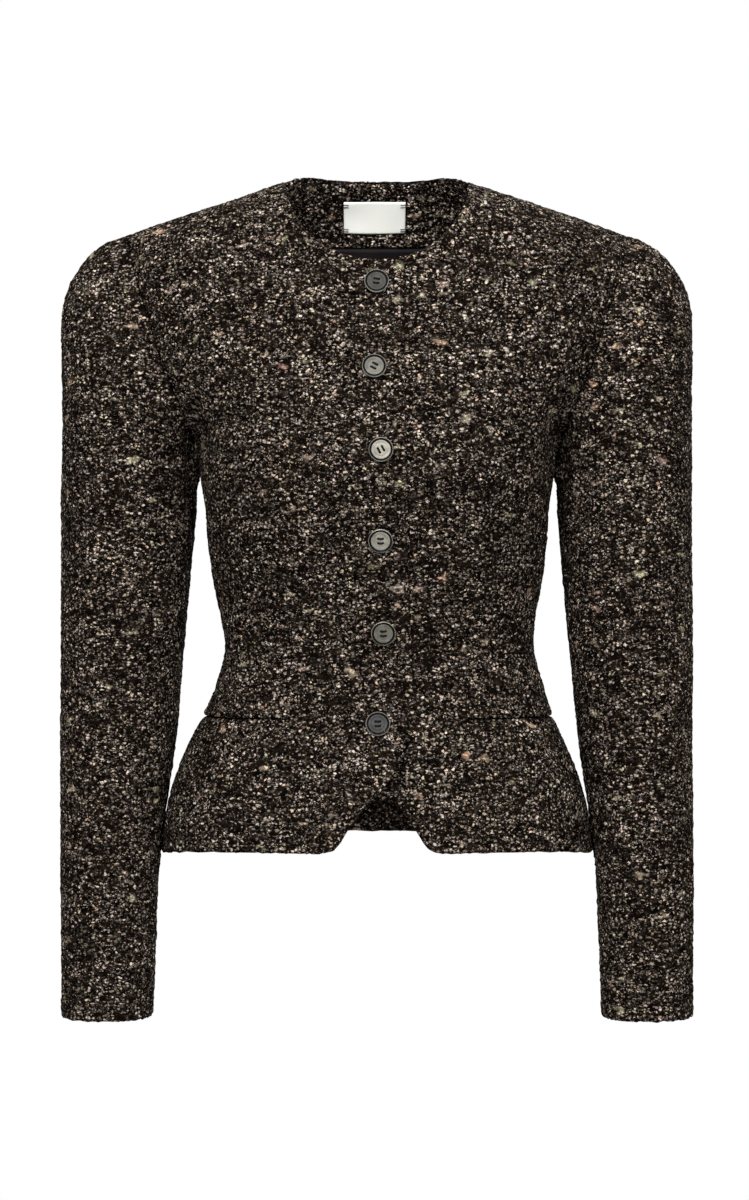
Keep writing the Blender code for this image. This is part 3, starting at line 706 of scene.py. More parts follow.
def placed(net, side, lift=0.0):
    """The body's points and normals for a net, on its left (1) or right (-1) side."""
    turn, z = side * net[..., 0], net[..., 1]
    if side < 0:
        turn, z = turn[:, ::-1], z[:, ::-1]
    points = on_body(turn, z)
    normal = outward(points, turn)
    lift = lift(points)[..., None] if callable(lift) else lift
    return points + normal * lift, normal


def ways_out(net):
    """The unit normals of a net of points, from its own rows and columns."""
    return unit(np.cross(np.gradient(net, axis=1), np.gradient(net, axis=0)))


def steered(normal, net, turns):
    """A sleeve's normals, turned near its head to the ways out of the body there."""
    ways = armhole_points(turns)[1][None]
    alike = np.clip((normal[:1] * ways).sum(axis=-1) / HEAD_ALIKE, 0, 1)
    near = (np.clip(1 - along_edge(net, "top") / HEAD_REACH, 0, 1) * alike)[..., None]
    return unit(normal * (1 - near) + ways * near)


def flare(net, normal):
    """The peplum's sides swing out to the sleeves at the hem."""
    low = np.clip((FLARE_FROM - net[..., 2]) / FLARE_OVER, 0, 1)
    return FLARE * eased(low) * np.abs(normal[..., 0]) ** 4


def armpit_hollow(net):
    """How far the cloth in front of each armpit sinks back, the same for body and sleeve."""
    x, y, z = np.abs(net[..., 0]), net[..., 1], net[..., 2]
    (at_x, at_z), (wide, high) = HOLLOW_AT, HOLLOW_SIZE
    away = ((x - at_x) / wide) ** 2 + ((z - at_z) / high) ** 2
    return HOLLOW_DEPTH * np.exp(-away) * np.clip(-y / HOLLOW_FRONT, 0, 1)


def shape_cloth(net, normal, thick, seams, creases, proud=None):
    """Turns a smooth net into cloth: its creases, unevenness, turned edges and nap."""
    move = soft_wave(net) + crease_depth(net, creases)
    if thick == WALL:
        move = move + flare(net, normal)
    edge_move = np.zeros(net.shape[:2])
    fade = np.ones(net.shape[:2])
    for edge in PLACES:
        distance = along_edge(net, edge)
        dip, turn = seams[edge][2:] if edge in seams else (0, EDGE_ROLL)
        edge_move -= roll(distance, turn)
        if proud and edge in proud:
            height, strip = proud[edge]
            move += height * np.exp(-(distance / strip) ** 2)
        if edge in seams:
            edge_move -= dip * np.exp(-(distance / SEAM_REACH) ** 2)
            fade *= np.clip(1 - dip + distance / SEAM_REACH, 0, 1)
    cloth = net + normal * (move + edge_move + nap(net) * fade)[..., None]
    inner = net + normal * (move - thick)[..., None]
    for grid in (cloth, inner):
        grid[..., 1] += armpit_hollow(net)
    ragged(cloth, inner, net, seams)
    sew(cloth, inner, seams)
    return cloth, inner


def inward(grid, edge):
    """The unit ways from an edge of a net into it."""
    here, there = PLACES[edge]
    return unit(grid[there] - grid[here], 1e-9)


def sew(cloth, inner, seams):
    """Leaves the seam gap, and cuts the two edges aslant so that one lies under the other."""
    for edge, (gap, slant, _, _) in seams.items():
        here = PLACES[edge][0]
        ways = inward(cloth, edge), inward(inner, edge)
        cloth[here] += ways[0] * gap
        inner[here] += ways[1] * (gap + slant)


def ragged(cloth, inner, net, seams):
    """Gives the free edges the uneven line of loose yarn."""
    for edge, (here, _) in PLACES.items():
        if edge not in seams:
            uneven = lattice(net[here], RAGGED, seed=11) * RAGGED_HEIGHT
            move = inward(net, edge) * uneven[..., None]
            cloth[here] -= move
            inner[here] -= move


# ---- Creases, in the garment's own places ----

# Each row: from x, z to x, z as seen, then depth (below 0 sinks) and width. The first
# three tables lie on both sides, and a sleeve's rows give turns in place of x.
FRONT_FOLDS = (
    (146, -205, 112, -168, -2.4, 10), (142, -222, 100, -196, -1.9, 9),
    (138, -243, 112, -238, 1.0, 9), (126, -330, 88, -318, -0.9, 8),
    (123, -352, 96, -350, 0.8, 7), (122, -374, 84, -382, -1.0, 8),
)
BACK_FOLDS = (
    (150, -120, 122, -66, -1.1, 12), (138, -215, 96, -176, -1.5, 10),
    (120, -350, 70, -338, -1.1, 9), (118, -376, 60, -384, 0.9, 9),
)
SLEEVE_FOLDS = (
    (165, -258, 118, -262, -4.5, 13), (150, -262, 95, -292, -2.2, 10),
    (165, -285, 110, -330, -1.4, 9), (60, -352, 118, -378, -1.2, 10),
    (128, -404, 72, -424, 1.0, 10), (140, -432, 86, -455, -1.3, 9),
    (205, -300, 262, -330, -1.6, 11), (250, -380, 312, -402, 1.3, 11),
    (232, -418, 300, -446, -1.5, 10), (40, -520, 92, -548, -0.9, 12),
)
LONE_FRONT_FOLDS = (
    (-34, -372, -92, -388, -0.9, 9), (30, -300, 78, -292, -0.7, 10), (-18, -396, -60, -402, 0.6, 8),
)
LONE_BACK_FOLDS = ((-52, -52, 46, -48, -0.8, 9),)
UNDER_LAP_FOLD = (26, -428, 9, -482, -4.5, 4.5)
BUTTON_DIMPLE = (-1.6, 11)
CREASE_ENDS = 0.12


def crease_depth(points, creases):
    """How far the creases move each point."""
    total = np.zeros(points.shape[:-1])
    for start, end, depth, width in creases:
        line = end - start
        share = np.clip(((points - start) @ line) / (line @ line), 0, 1)
        away = np.linalg.norm(points - start - share[..., None] * line, axis=-1)
        along = math.pi * (CREASE_ENDS + (1 - 2 * CREASE_ENDS) * share)
        total += depth * np.exp(-(away / width) ** 2) * np.sin(along)
    return total


def fold(row, side=1, back=False):
    """A soft crease on the body between two places seen from in front or behind."""
    x, z = np.array(row[:4:2], float) * side, np.array(row[1:4:2], float)
    return (*points_of(seen_at(x, z, back)), *row[4:])


def sleeve_fold(row, side):
    """A soft crease on a sleeve between two turns and levels."""
    ends = [sleeve_ring(row[k + 1], np.radians([row[k]]))[0] * (side, 1, 1) for k in (0, 2)]
    return (*ends, *row[4:])


BODY_CREASES = [
    *(fold(row, side) for side in (1, -1) for row in FRONT_FOLDS),
    *(fold(row, side, True) for side in (1, -1) for row in BACK_FOLDS),
    *(fold(row) for row in LONE_FRONT_FOLDS),
    *(fold(row, 1, True) for row in LONE_BACK_FOLDS),
    *(fold((x - 1, z, x + 1, z, *BUTTON_DIMPLE)) for x, z in outline(BUTTONS)),
]


# ---- Meshes ----

def added(name, data):
    """An object with that data, added to the scene."""
    thing = bpy.data.objects.new(name, data)
    bpy.context.scene.collection.objects.link(thing)
    return thing


def new_mesh(name, points, faces, materials):
    """A smooth mesh from points in millimetres."""
    mesh = bpy.data.meshes.new(name)
    mesh.from_pydata(points * MM, [], faces)
    mesh.polygons.foreach_set("use_smooth", np.ones(len(faces), dtype=bool))
    for material in materials:
        mesh.materials.append(material)
    return mesh


def shell(name, cloth, inner, materials):
    """A closed shell: a fine face, a plain inner side in bigger steps, and its rim."""
    rows, columns = cloth.shape[:2]
    small = inner[::COARSE, ::COARSE]
    r, c = small.shape[:2]
    count = rows * columns
    points = np.concatenate([cloth.reshape(-1, 3), small.reshape(-1, 3)])
    grid = np.arange(count).reshape(rows, columns)
    face = np.stack([grid[:-1, :-1], grid[1:, :-1], grid[1:, 1:], grid[:-1, 1:]], axis=-1)
    low = count + np.arange(r * c).reshape(r, c)
    plain = np.stack([low[:-1, :-1], low[:-1, 1:], low[1:, 1:], low[1:, :-1]], axis=-1)
    outside = face.reshape(-1, 4).tolist() + rim_of(ring_of(grid), ring_of(low))
    every = outside + plain.reshape(-1, 4).tolist()
    a, b = rows // 2, columns // 2
    corner = cloth[a, b]
    way = np.cross(cloth[a + 1, b] - corner, cloth[a, b + 1] - corner)
    if way @ (corner - inner[a, b]) < 0:
        every = [face[::-1] for face in every]
    mesh = new_mesh(name, points, every, materials)
    slots = np.zeros(len(every), dtype=np.int32)
    slots[len(outside):] = len(materials) - 1
    mesh.polygons.foreach_set("material_index", slots)
    return added(name, mesh)


def ring_of(grid):
    """The border of a grid of numbers, once round."""
    return list(grid[0, :-1]) + list(grid[:-1, -1]) + list(grid[-1, :0:-1]) + list(grid[:0:-1, 0])


def rim_of(outer, inner):
    """Faces between the two sides' borders: one inner step spans several outer ones."""
    rim = []
    for k in range(len(inner)):
        piece = [outer[(k * COARSE + j) % len(outer)] for j in range(COARSE + 1)]
        rim.append(piece + [inner[(k + 1) % len(inner)], inner[k]])
    return rim


def dress(thing, node):
    """Ties a piece to the frame and hides the solid it stands in for."""
    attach(thing, "root")
    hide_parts(node)


def tube(points, radius, steps=8, between=4):
    """Points and faces of a round thread through the points."""
    line = np.array(points, float)
    at = np.linspace(0, len(line) - 1, (len(line) - 1) * between + 1)
    line = np.stack([smooth(np.arange(len(line)), line[:, k], at) for k in range(3)], axis=1)
    along = unit(np.gradient(line, axis=0))
    first = unit(np.cross(along, along.mean(axis=0) + (0.3, 0.5, 0.2)))
    second = np.cross(along, first)
    angle = (2 * math.pi * np.arange(steps) / steps)[None, :, None]
    ring = np.cos(angle) * first[:, None] + np.sin(angle) * second[:, None]
    places = (line[:, None] + ring * radius).reshape(-1, 3)
    faces = []
    for r in range(len(line) - 1):
        for k in range(steps):
            n = (k + 1) % steps
            faces.append((r * steps + k, r * steps + n, (r + 1) * steps + n, (r + 1) * steps + k))
    last = (len(line) - 1) * steps
    faces.append(tuple(range(steps))[::-1])
    faces.append(tuple(last + k for k in range(steps)))
    return places, faces


def strands(name, tubes):
    """Several threads as one piece."""
    points, faces, start = [], [], 0
    for places, sides in tubes:
        points.append(places)
        faces += [tuple(start + k for k in side) for side in sides]
        start += len(places)
    mesh = new_mesh(name, np.concatenate(points), faces, [THREAD])
    work = bmesh.new()
    work.from_mesh(mesh)
    bmesh.ops.recalc_face_normals(work, faces=work.faces)
    work.to_mesh(mesh)
    work.free()
    thing = added(name, mesh)
    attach(thing, "root")


# ---- Finishes ----

def new_finish(name):
    """An empty node finish and its main shader."""
    finish = bpy.data.materials.new(name)
    finish.use_nodes = True
    return finish, finish.node_tree, finish.node_tree.nodes["Principled BSDF"]


def add(tree, kind, link=None, **settings):
    """One node, with its settings and what feeds each of its sockets."""
    node = tree.nodes.new(kind)
    for key, value in settings.items():
        setattr(node, key, value)
    for socket, source in (link or {}).items():
        if hasattr(source, "is_output"):
            tree.links.new(source, node.inputs[socket])
        else:
            node.inputs[socket].default_value = source
    return node


def maths(tree, operation, a, b):
    return add(tree, "ShaderNodeMath", {0: a, 1: b}, operation=operation).outputs[0]


def times(tree, a, b):
    return maths(tree, "MULTIPLY", a, b)


def plus(tree, a, b):
    return maths(tree, "ADD", a, b)


def moved(tree, operation, link):
    return add(tree, "ShaderNodeVectorMath", link, operation=operation).outputs[0]


def own_place(tree):
    """The place on the piece itself, in metres."""
    return add(tree, "ShaderNodeTexCoord").outputs["Object"]


def stretched(tree, place, scale):
    return add(tree, "ShaderNodeMapping", {0: place, 3: scale}).outputs[0]


def noise(tree, place, scale, detail=2.0, **more):
    link = {"Vector": place, "Scale": scale, "Detail": detail, **more}
    return add(tree, "ShaderNodeTexNoise", link).outputs["Fac"]


def cells(tree, place, scale):
    """A pattern of cells: how far from each one's middle, and two random numbers for it."""
    pattern = add(tree, "ShaderNodeTexVoronoi", {"Vector": place, "Scale": scale})
    split = add(tree, "ShaderNodeSeparateColor", {0: pattern.outputs["Color"]})
    return pattern.outputs["Distance"], split.outputs[0], split.outputs[1]


def fading(tree, distance, start, end, most):
    """The most near a cell's middle, and nothing further out."""
    return add(tree, "ShaderNodeMapRange", {0: distance, 1: start, 2: end, 3: most, 4: 0.0},
               interpolation_type="SMOOTHSTEP").outputs[0]


def ramp(tree, factor, stops):
    """A colour ramp; each stop is a place and a colour or a grey."""
    node = add(tree, "ShaderNodeValToRGB", {0: factor})
    marks = node.color_ramp.elements
    while len(marks) < len(stops):
        marks.new(1.0)
    for mark, (place, colour) in zip(marks, stops):
        mark.position = place
        mark.color = (*colour, 1) if hasattr(colour, "__len__") else (colour, colour, colour, 1)
    return node.outputs[0]


def mixed(tree, blend, a, b, factor=1.0):
    return add(tree, "ShaderNodeMix", {0: factor, 6: a, 7: b}, data_type="RGBA",
               blend_type=blend).outputs[2]


def coat(tree, shader, colour, rough, gloss, bump=None):
    """Gives a shader its colour, roughness and gloss, and bumps: strength, depth, height."""
    tree.links.new(colour, shader.inputs["Base Color"])
    if bump:
        link = dict(zip(("Strength", "Distance", "Height"), bump))
        tree.links.new(add(tree, "ShaderNodeBump", link).outputs[0], shader.inputs["Normal"])
    shader.inputs["Roughness"].default_value = rough
    shader.inputs["Specular IOR Level"].default_value = gloss


# The tweed: tints of the pale flecks and of the slubs, how bright the flecks are, the dark
# ground, and for each size of fleck how many there are a metre and how strong they are.
YARN_TINTS = (
    (0.0, (0.84, 0.70, 0.68)), (0.2, (1.0, 0.84, 0.66)), (0.4, (0.80, 0.68, 0.60)),
    (0.55, (1.0, 0.88, 0.74)), (0.7, (0.86, 0.75, 0.50)), (0.85, (1.0, 0.68, 0.50)),
    (1.0, (0.88, 0.72, 0.66)),
)
SLUB_TINTS = (
    (0.0, (0.52, 0.31, 0.20)), (0.35, (0.52, 0.45, 0.33)), (0.6, (0.40, 0.38, 0.22)),
    (0.8, (0.56, 0.46, 0.38)), (1.0, (0.34, 0.20, 0.16)),
)
FLECKS = ((0.0, 0.0), (0.42, 0.002), (0.58, 0.024), (0.72, 0.098), (0.86, 0.255), (1.0, 0.55))
GROUND = (
    (0.3, (0.0005, 0.0003, 0.0002)), (0.5, (0.0026, 0.0015, 0.001)),
    (0.7, (0.008, 0.0052, 0.0035)),
)
FLECK_SIZES = ((340.0, 1.0), (570.0, 0.7))

# The tweed's patterns: how fine, how flattened, where a fleck or slub fades out, and how
# finely and how far it is bent.
FLECK_EDGE = (0.2, 0.58)
FLECK_BEND = (330.0, 0.005)
FLAT = (1, 1, 1.35)
PATCH_FLAT = (1, 1, 1.6)
PATCHES = 40.0
PATCH_STRENGTH = 0.65
GROUND_SIZE = 150.0
SLUB_FLAT = (1, 1, 1.5)
SLUB_SIZE = 58.0
SLUB_EDGE = (0.1, 0.34)
SLUB_BEND = (120.0, 0.016)
SLUBS_ABOVE = 0.84
SLUB_COVER, SLUB_COVER_MORE = 0.25, 0.6
FINE_HEIGHT, SLUB_HEIGHT = 0.7, 0.8
TWEED_BUMP = (0.7, 0.0009)


def shaken(tree, place, scale, amount):
    """The place moved about by a noise."""
    wild = add(tree, "ShaderNodeTexNoise", {"Vector": place, "Scale": scale, "Detail": 2.0})
    away = moved(tree, "SUBTRACT", {0: wild.outputs["Color"], 1: (0.5,) * 3})
    return moved(tree, "ADD", {0: place, 1: moved(tree, "SCALE", {0: away, "Scale": amount})})


def tweed_flecks(tree, place, level, scale, power, painted_light_gain):
    """One size of fleck: its colour and its shape. The painted-light gain brightens or darkens the
    flecks' colour to paint light or shade, and the shape is divided back by it.
    """
    distance, chance, kind = cells(tree, place, scale)
    bright = ramp(tree, plus(tree, chance, level), FLECKS)
    shape = fading(tree, distance, *FLECK_EDGE, power * painted_light_gain)
    colour = mixed(tree, "MULTIPLY", bright, ramp(tree, kind, YARN_TINTS))
    return mixed(tree, "MULTIPLY", colour, shape), maths(tree, "DIVIDE", shape, painted_light_gain)


def tweed_slubs(tree, place):
    """A few cells of a much wider pattern: how strong, and in what colour."""
    place = stretched(tree, shaken(tree, place, *SLUB_BEND), SLUB_FLAT)
    distance, chance, kind = cells(tree, place, SLUB_SIZE)
    near = fading(tree, distance, *SLUB_EDGE, 1.0)
    slub = times(tree, maths(tree, "GREATER_THAN", chance, SLUBS_ABOVE), near)
    return slub, ramp(tree, kind, SLUB_TINTS)


def tweed_finish(name, painted_light_gain=1.0):
    """Near-black wool with small pale flecks and now and then a coloured slub. The painted-light
    gain makes lit or shaded copies of it: above 1 is painted light, below 1 painted shade.
    """
    finish, tree, shader = new_finish(name)
    place = stretched(tree, own_place(tree), FLAT)
    patches = noise(tree, stretched(tree, place, PATCH_FLAT), PATCHES, 3.0, Roughness=0.6)
    level = times(tree, maths(tree, "SUBTRACT", patches, 0.5), PATCH_STRENGTH)
    bent = shaken(tree, place, *FLECK_BEND)
    (big, shape), (small, fine) = (
        tweed_flecks(tree, bent, level, *size, painted_light_gain) for size in FLECK_SIZES
    )
    ground = ramp(tree, noise(tree, place, GROUND_SIZE, 3.0), GROUND)
    colour = mixed(tree, "ADD", ground, mixed(tree, "LIGHTEN", big, small))
    slub, tint = tweed_slubs(tree, place)
    cover = times(tree, slub, plus(tree, times(tree, shape, SLUB_COVER_MORE), SLUB_COVER))
    colour = mixed(tree, "MIX", colour, tint, cover)
    height = plus(tree, shape, times(tree, fine, FINE_HEIGHT))
    height = plus(tree, height, times(tree, slub, SLUB_HEIGHT))
    coat(tree, shader, colour, rough=0.92, gloss=0.01, bump=(*TWEED_BUMP, height))
    return finish


SATIN_STRETCH = (0.25, 0.25, 1)
SATIN_TONE = 24.0
SATIN_BUMP = (0.25, 0.0002)


def satin_finish(name, dark, light, gloss, weave, thready):
    """A satin with a fine sideways weave and a slow change of tone."""
    finish, tree, shader = new_finish(name)
    place = own_place(tree)
    threads = noise(tree, stretched(tree, place, SATIN_STRETCH), weave)
    slow = noise(tree, place, SATIN_TONE)
    tone = plus(tree, times(tree, threads, thready), times(tree, slow, 1 - thready))
    colour = ramp(tree, tone, ((0.3, dark), (0.7, light)))
    coat(tree, shader, colour, 0.5, gloss, bump=(*SATIN_BUMP, threads))
    return finish


def horn_finish(name, dark, light, rough=0.45, gloss=0.3):
    """Cloudy grey horn, with a soft gloss."""
    finish, tree, shader = new_finish(name)
    clouds = noise(tree, own_place(tree), 160.0, 4.0, Distortion=0.8)
    coat(tree, shader, ramp(tree, clouds, ((0.3, dark), (0.72, light))), rough, gloss)
    return finish


def thread_finish(name, colour):
    """Dark sewing thread, a little lighter along its twist."""
    finish, tree, shader = new_finish(name)
    link = {"Vector": own_place(tree), "Scale": 900.0, "Distortion": 1.5}
    twist = add(tree, "ShaderNodeTexWave", link).outputs["Fac"]
    light = tuple(min(1.0, c * 2.2) for c in colour)
    coat(tree, shader, ramp(tree, twist, ((0.2, colour), (0.9, light))), rough=0.7, gloss=0.1)
    return finish


TWEED = tweed_finish("tweed")
# A copy of the tweed with its flecks 1.75 times brighter: painted light for the facing inside the
# back neck.
TWEED_FACING_PAINTED_LIGHT = tweed_finish("tweed_facing_painted_light", 1.75)
# A copy of the tweed with its flecks darkened to 0.6: painted shade for the inner faces of the
# fronts, backs and peplums.
TWEED_INSIDE_PAINTED_SHADE = tweed_finish("tweed_inside_painted_shade", 0.6)
LINING = satin_finish(
    "lining_satin", (0.0022, 0.0014, 0.0018), (0.0085, 0.006, 0.0072), 0.06, 1400.0, 0.12
)
LABEL_WHITE = satin_finish(
    "label_satin", (0.73, 0.73, 0.685), (0.81, 0.81, 0.76), 0.3, 1800.0, 0.3
)
HORN = horn_finish("horn", (0.11, 0.105, 0.085), (0.21, 0.205, 0.17))
HORN_EDGE = horn_finish("horn_edge", (0.07, 0.067, 0.058), (0.17, 0.165, 0.14), 0.14, 0.9)
# Near-black horn for the groove round the button's middle: painted shade in the groove.
HORN_GROOVE_PAINTED_SHADE = horn_finish("horn_groove_painted_shade", (0.003, 0.0026, 0.0022), (0.008, 0.007, 0.006), 0.25, 0.12)
# Horn for the buttons' middles, from dark to pale; the paler ones are partly painted reflection of
# the lamps.
HORN_DARK = horn_finish("horn_dark", (0.016, 0.0155, 0.013), (0.036, 0.035, 0.031), 0.4, 0.12)
HORN_GREY = horn_finish("horn_grey", (0.058, 0.055, 0.043), (0.115, 0.11, 0.092), 0.45, 0.2)
HORN_PALE = horn_finish("horn_pale", (0.13, 0.12, 0.095), (0.26, 0.245, 0.20))
SLATE = horn_finish("horn_slate", (0.015, 0.0148, 0.0145), (0.035, 0.0345, 0.034), 0.4, 0.12)
THREAD = thread_finish("dark_thread", (0.003, 0.003, 0.0032))


# ---- The cloth pieces ----

def body_cloth(word, net, side, seams, proud=None, lift=0.0):
    """One tweed piece of the body on its left or right side."""
    if side < 0:
        swap = {"left": "right", "right": "left"}
        seams = {swap.get(edge, edge): slant for edge, slant in seams.items()}
    points, normal = placed(net, side, lift)
    creases = BODY_CREASES + ([fold(UNDER_LAP_FOLD)] if word == "front_left" else [])
    cloth, inner = shape_cloth(points, normal, WALL, seams, creases, proud)
    # The inner faces of all but the side fronts take the darkened tweed, painted shade.
    inside = LINING if "side" in word else TWEED_INSIDE_PAINTED_SHADE
    dress(shell(f"{word}_tweed", cloth, inner, [TWEED, inside]), word)


def body_pieces():
    for word, side in (("left", 1), ("right", -1)):
        lift = lap_lift if side < 0 else 0.0
        body_cloth(f"front_{word}", front_net(side), side, {"right": OVER, "top": OVER},
                   None, lift)
        body_cloth(f"side_front_{word}", side_front_net(), side,
                   {"top": OVER, "left": UNDER, "right": OVER, "bottom": WAIST_OVER},
                   BODICE_PROUD)
        body_cloth(f"peplum_front_{word}", peplum_front_net(), side,
                   {"left": UNDER, "right": OVER, "top": WAIST_UNDER},
                   PEPLUM_SET_BACK)
        middle = OVER if side > 0 else UNDER
        body_cloth(f"back_{word}", back_net(), side,
                   {"top": UNDER, "left": middle, "right": UNDER, "bottom": WAIST_OVER},
                   BODICE_PROUD)
    body_cloth("peplum_back", peplum_back_net(), 1,
               {"left": UNDER, "right": UNDER, "top": WAIST_UNDER},
               PEPLUM_SET_BACK)


def sleeve_pieces():
    cuts = {
        "under_sleeve": (UNDER_FROM, UNDER_TO, UNDER_COLUMNS, UNDER, ((0.13, 0.50), 0.0544)),
        "upper_sleeve": (UNDER_TO, UNDER_FROM + 360, UPPER_COLUMNS, OVER, ((0.26, 0.63), 0.118)),
    }
    for part, (first, last, columns, slant, cut) in cuts.items():
        turns = np.radians(np.linspace(first, last, columns + 1))
        seams = {"left": slant, "right": slant, "top": UNDER}
        for word, side in (("left", 1), ("right", -1)):
            net = sleeve_net(turns)
            normal = steered(ways_out(net), net, turns)
            if side < 0:
                net, normal = mirror(net), mirror(normal)
            creases = [sleeve_fold(row, side) for row in SLEEVE_FOLDS]
            cloth, inner = shape_cloth(net, normal, SLEEVE_WALL, seams, creases, SLEEVE_HEAD)
            thing = shell(f"{part}_{word}_tweed", cloth, inner, [TWEED, LINING])
            dress(thing, f"{part}_{word}")


# ---- Inside the neck ----

# The lining's middle seam (place, depth, width) and its upright folds: how deep, how far
# apart, how much and how slowly they wander, and from where down they grow to their depth.
LINING_SEAM = (4.0, 0.7, 1.6)
FOLD_DEPTH, FOLD_WIDTH = 0.7, 17.0
FOLD_WANDER, FOLD_WANDER_HEIGHT = 0.8, 70.0
FOLDS_FROM, FOLDS_OVER = -40, 120

# The label's form, and its tacks: two at each corner, from these rows and columns.
LABEL_PROUD = 0.5
LABEL_BULGE = 0.35
LABEL_RIPPLE, LABEL_RIPPLE_HEIGHT = 15.0, 0.25
LABEL_CORNER_DIP = 0.8
LABEL_ROLL = 0.35
LABEL_BOW, LABEL_BOW_FROM = 0.5, 0.2
LABEL_BACK, LABEL_BACK_MOVE = 0.5, 0.2
TACK_CORNERS = ((2, 0), (2, -1), (-3, 0), (-3, -1))
TACK_RADIUS = 0.28
TACK_START, TACK_LIFT, TACK_END, TACK_PAST = 0.6, 0.35, 0.5, 0.35


def neck_facing():
    """The tweed facing inside the back neck, its upper edge rolled to the neck edge."""
    points, normal = placed(facing_net(), 1, -(WALL + INSIDE_GAP + FACING_WALL))
    cloth, inner = shape_cloth(points, -normal, FACING_WALL, {"bottom": OVER}, [], FACING_ROLLED)
    # The facing wears the brightened tweed, painted light.
    thing = shell("neck_facing_tweed", cloth, inner, [TWEED_FACING_PAINTED_LIGHT, LINING])
    dress(thing, "neck_facing")


def back_lining():
    """The dark lining of the back, with its middle seam and soft upright folds."""
    points, normal = placed(lining_net(), 1, -(WALL + INSIDE_GAP + LINING_WALL))
    x, z = points[..., 0], points[..., 2]
    middle, depth, width = LINING_SEAM
    seam = -depth * np.exp(-((x - middle) / width) ** 2)
    easing = np.clip((FOLDS_FROM - z) / FOLDS_OVER, 0, 1)
    wander = FOLD_WANDER * np.sin(z / FOLD_WANDER_HEIGHT)
    folds = FOLD_DEPTH * np.sin(x / FOLD_WIDTH + wander) * easing
    move = seam + folds + soft_wave(points) * 0.5
    cloth = points - normal * move[..., None]
    inner = points + normal * (LINING_WALL - move)[..., None]
    thing = shell("back_lining_satin", cloth, inner, [LINING])
    dress(thing, "lining_back")


def evened(points):
    """The points moved onto one smooth curved surface."""
    x, y, z = (points[..., k].ravel() for k in range(3))
    x, z = x / LABEL_WIDTH, z / LABEL_WIDTH
    terms = np.stack([np.ones_like(x), x, z, x * x, x * z, z * z], axis=1)
    flat = terms @ np.linalg.lstsq(terms, y, rcond=None)[0]
    return np.stack([points[..., 0], flat.reshape(points.shape[:2]), points[..., 2]], axis=-1)


def neck_label():
    """The blank white label, its corners held down by dark stitches."""
    under = -(WALL + INSIDE_GAP + FACING_WALL + LABEL_GAP + LABEL_WALL + LABEL_PROUD)
    points = evened(placed(label_net(), 1)[0])
    normal = ways_out(points)
    normal *= np.sign(normal[..., 1:2])
    points = points + normal * under
    across = np.linspace(-1, 1, points.shape[1])[None]
    down = np.linspace(-1, 1, points.shape[0])[:, None]
    bulge = LABEL_BULGE * (1 - across**4) * (1 - down**4)
    ripple = lattice(points, LABEL_RIPPLE, seed=21) * LABEL_RIPPLE_HEIGHT
    move = bulge + ripple - LABEL_CORNER_DIP * (np.abs(across) ** 6 * np.abs(down) ** 6)
    for edge in PLACES:
        move = move - roll(along_edge(points, edge), LABEL_ROLL)
    cloth = points - normal * move[..., None]
    inner = points + normal * (LABEL_BACK - np.minimum(move, LABEL_BACK_MOVE))[..., None]
    for grid in (cloth, inner):
        grid[..., 2] -= LABEL_BOW * (1 - across**2) * (down - LABEL_BOW_FROM)
    thing = shell("neck_label_satin", cloth, inner, [LABEL_WHITE])
    strands("label_tacks", label_tacks(cloth, normal))
    dress(thing, "label")


def label_tacks(cloth, normal):
    """Two short stitches over the label's edge at each corner."""
    tacks = []
    for row, column in TACK_CORNERS:
        for r in (row, row + (2 if row > 0 else -2)):
            edge, inside = cloth[r, column], cloth[r, 4 if column == 0 else -5]
            way = normal[r, column]
            over = way * TACK_LIFT
            out = edge + (edge - inside) * TACK_PAST + way * TACK_END
            path = [inside + way * TACK_START, inside - over, edge - over, out]
            tacks.append(tube(path, TACK_RADIUS))
    return tacks


# ---- Buttons ----

# The turned form, in millimetres: the blank, then each step up the outside (rise, radius)
# and each step inwards over the rim and groove to the middle (inset, rise).
BLANK_BOTTOM, BLANK_TOP, BLANK_HEIGHT = 6.0, 9.0, 1.2
OUTSIDE = ((0.55, 9.45), (0.55, 9.5), (0.45, 9.25))
FACE = (
    (0.3, 0.22), (0.3, 0.03), (0.3, -0.2), (0.35, -0.7), (0.35, -0.3), (0.15, 0.35),
    (0.25, 0.18), (0.35, 0.03), (1.6, -0.05), (0.15, -0.12), (0.15, 0.1), (1.0, -0.03),
)
SOFT_EDGE = 0.14
BEVEL_ABOVE, SMOOTH_BELOW = 38, 50
MIDDLE_RADIUS = 7.3
RIM_RADIUS = 8.85

# How far each button is turned, in degrees, and its horn. The horn tones are partly the buttons'
# own and partly painted reflection: the middle buttons are lighter where they caught the lamps.
LOOKS = (
    (-8, HORN_DARK), (-28, HORN_GREY), (-62, HORN_PALE), (0, HORN), (2, HORN_GREY), (3, SLATE),
)

# A thread's way from hole to hole: shares of the holes' spread and of the strands' own
# spread, and the height over the button's back.
THREAD_PATH = (
    (-1, 1, 0.4), (-1, 1, 2.2), (-0.6, 1, 2.62), (0, 1.2, 2.75), (0.6, 1, 2.62), (1, 1, 2.2),
    (1, 1, 0.4),
)
THREAD_RADIUS = 0.38
THREAD_SPREAD = 0.36


def pick(test):
    """Selects only the faces of the open mesh that pass a test."""
    mesh = bpy.context.edit_object.data
    bpy.ops.mesh.select_all(action="DESELECT")
    work = bmesh.from_edit_mesh(mesh)
    for face in work.faces:
        if test(face):
            face.select_set(True)
    bmesh.update_edit_mesh(mesh)


def is_top(face):
    return face.normal.z > 0.9 and len(face.verts) > 8


def step_in(thickness, up):
    """Insets the open top and moves it up or down."""
    bpy.ops.mesh.inset(thickness=thickness * MM)
    bpy.ops.transform.translate(value=(0, 0, up * MM))


